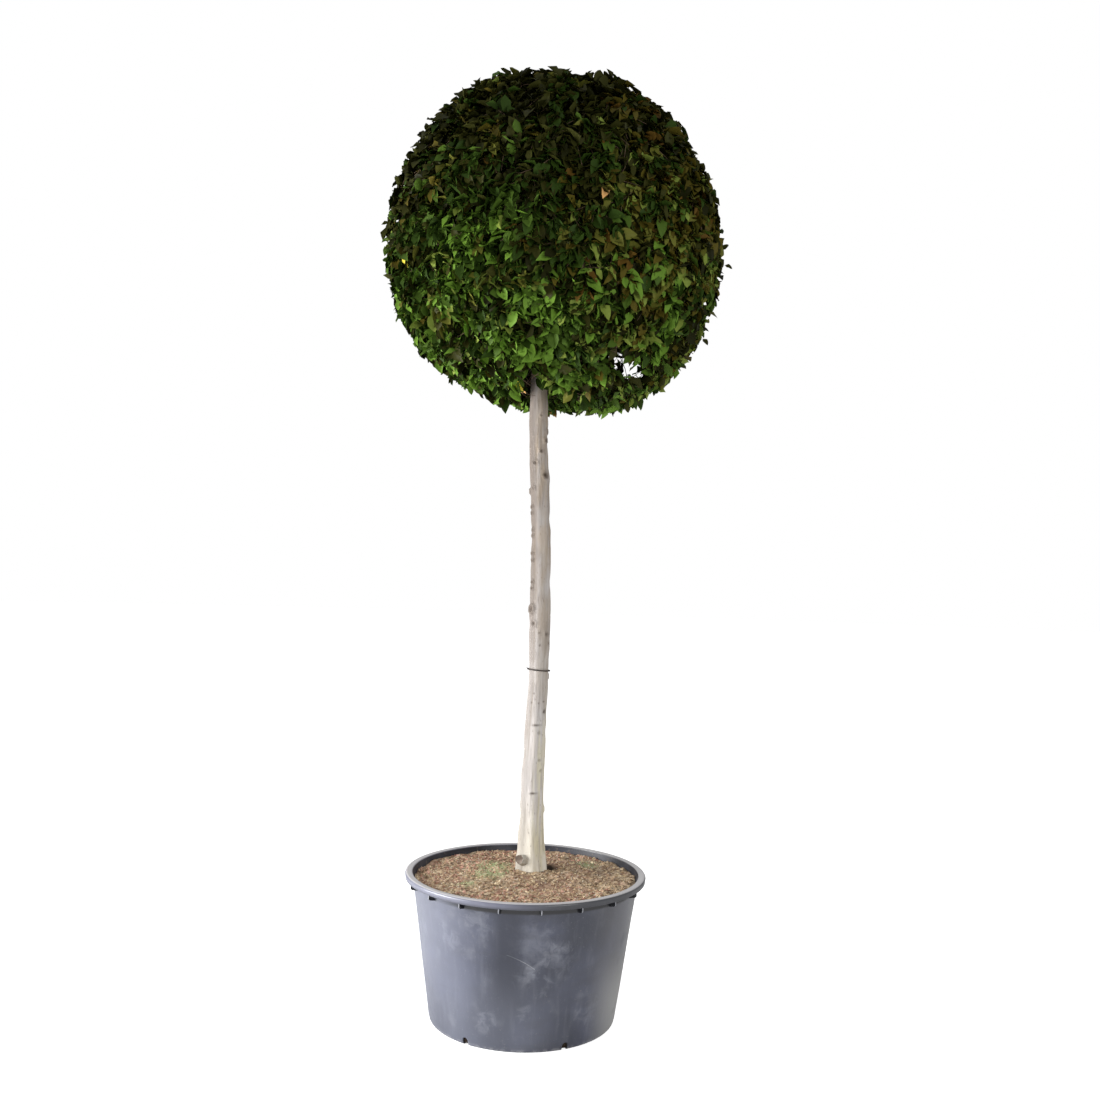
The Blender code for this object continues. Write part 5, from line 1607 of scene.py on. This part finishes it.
def make_crown():
    """Grows boughs, branches, twigs and leaves, and makes one piece of each kind for every mass."""
    draw = np.random.default_rng(SEED)
    bark = branch_material("bough_bark", (0.095, 0.072, 0.052), (0.240, 0.195, 0.150))
    rind = branch_material("twig_bark", (0.060, 0.036, 0.022), (0.150, 0.100, 0.062))
    tint_finishes = leaf_materials()
    branches, branch_masses = grow_branches(draw)
    sprays, masses, layers = grow_sprays(draw)
    twigs, twig_masses = twigs_between(branches, branch_masses, sprays, masses, draw)
    leaves, owner = fitted_leaves(sprays, draw)
    tints = deal_tints(owner, sprays[:, 2], layers, draw)
    turn_single_leaves(tints, leaves)
    sprigs, sprig_masses, sprig_leaves = grow_sprigs()
    owner = np.concatenate((owner, len(sprays) + np.arange(len(sprigs))))
    sprays = np.concatenate((sprays, sprigs))
    masses = np.concatenate((masses, sprig_masses))
    leaves = [np.concatenate(pair) for pair in zip(leaves, sprig_leaves)]
    tints = np.concatenate((tints, np.full(len(sprigs), tint_number(SPRIG_TINT))))
    for mass, name in enumerate((*MASS_NAMES, "top")):
        foot = LEADER_FOOT_RADIUS if name == "top" else BOUGH_FOOT_RADIUS
        bough = (bough_path(mass)[None], (foot, BOUGH_TIP_RADIUS), BOUGH_SIDES)
        mine = branches[branch_masses == mass]
        make_limbs(f"limbs_{name}", bark, (bough, (mine, BRANCH_RADII, BRANCH_SIDES)), f"bough_{name}")
        here = masses == mass
        joints = (twigs[twig_masses == mass], TWIG_RADII, TWIG_SIDES)
        make_limbs(f"twigs_{name}", rind, (joints, (sprays[here], SPRAY_RADII, SPRAY_SIDES)))
        on = here[owner]
        count = on.sum()
        points, *panes = leaf_arrays(*[values[on] for values in leaves], draw)
        deal = np.concatenate([np.repeat(tints[on], len(faces) // count) for faces in panes])
        dress(piece_from(f"leaves_{name}", points, panes, tint_finishes, deal), "leaves", f"foliage_{name}")
        print(f"{name}: {count} leaves, {here.sum()} sprays, {len(mine)} branches")


# ---- studio


def make_camera():
    data = bpy.data.cameras.new("camera")
    data.lens = LENS
    data.sensor_width = SENSOR
    camera = add_object("camera", data)
    turn = Matrix.Rotation(math.pi / 2 + VIEW_PITCH, 4, "X") @ Matrix.Rotation(VIEW_ROLL, 4, "Z")
    camera.matrix_world = Matrix.Translation(VIEW_FROM) @ turn
    bpy.context.scene.camera = camera


def make_light(name, place, target, size, power):
    """A square soft light that faces a target."""
    data = bpy.data.lights.new(name, "AREA")
    data.size = size
    data.energy = power
    lamp = add_object(name, data)
    aim = (Vector(target) - Vector(place)).to_track_quat("-Z", "Y").to_matrix().to_4x4()
    lamp.matrix_world = Matrix.Translation(Vector(place)) @ aim


def make_studio():
    """A white floor in white surroundings, with a low soft key light from the front left."""
    scene = bpy.context.scene
    scene.view_settings.view_transform = "Standard"
    world = bpy.data.worlds.new("studio")
    world.use_nodes = True
    scene.world = world
    nodes = Nodes(world.node_tree)
    background = world.node_tree.nodes["Background"].inputs
    background["Color"].default_value = (1, 1, 1, 1)
    feeds = {"Value": nodes.add("ShaderNodeLightPath", out="Is Camera Ray"), "To Min": SURROUND_LIGHT}
    nodes.tree.links.new(nodes.add("ShaderNodeMapRange", feeds), background["Strength"])
    shape = bmesh.new()
    bmesh.ops.create_circle(shape, cap_ends=True, segments=96, radius=FLOOR_RADIUS)
    floor = add_object("floor", smoothed(shape, "floor", 30))
    paint = Paint("floor", 0.9, 0.1)
    paint.shader.inputs["Base Color"].default_value = (0.92, 0.92, 0.92, 1)
    paint.shader.inputs["Emission Color"].default_value = (1, 1, 1, 1)
    glow = paint.times(paint.add("ShaderNodeLightPath", out="Is Camera Ray"), FLOOR_GLOW)
    paint.tree.links.new(glow, paint.shader.inputs["Emission Strength"])
    floor.data.materials.append(paint.finish)
    make_light("key", KEY_PLACE, (0, 0, 1.4), KEY_SIZE, KEY_POWER)
    make_light("fill", FILL_PLACE, CROWN_CENTRE, FILL_SIZE, FILL_POWER)


def main():
    for item in list(bpy.data.objects):
        bpy.data.objects.remove(item, do_unlink=True)
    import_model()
    stretched_grain_group()
    round_patch_group()
    make_camera()
    make_studio()
    make_pot()
    make_mix()
    make_trunk(bark_material(), branch_material("sawn_wood", (0.085, 0.062, 0.047), (0.210, 0.168, 0.136)))
    make_tie(wire_material())
    make_crown()


main()
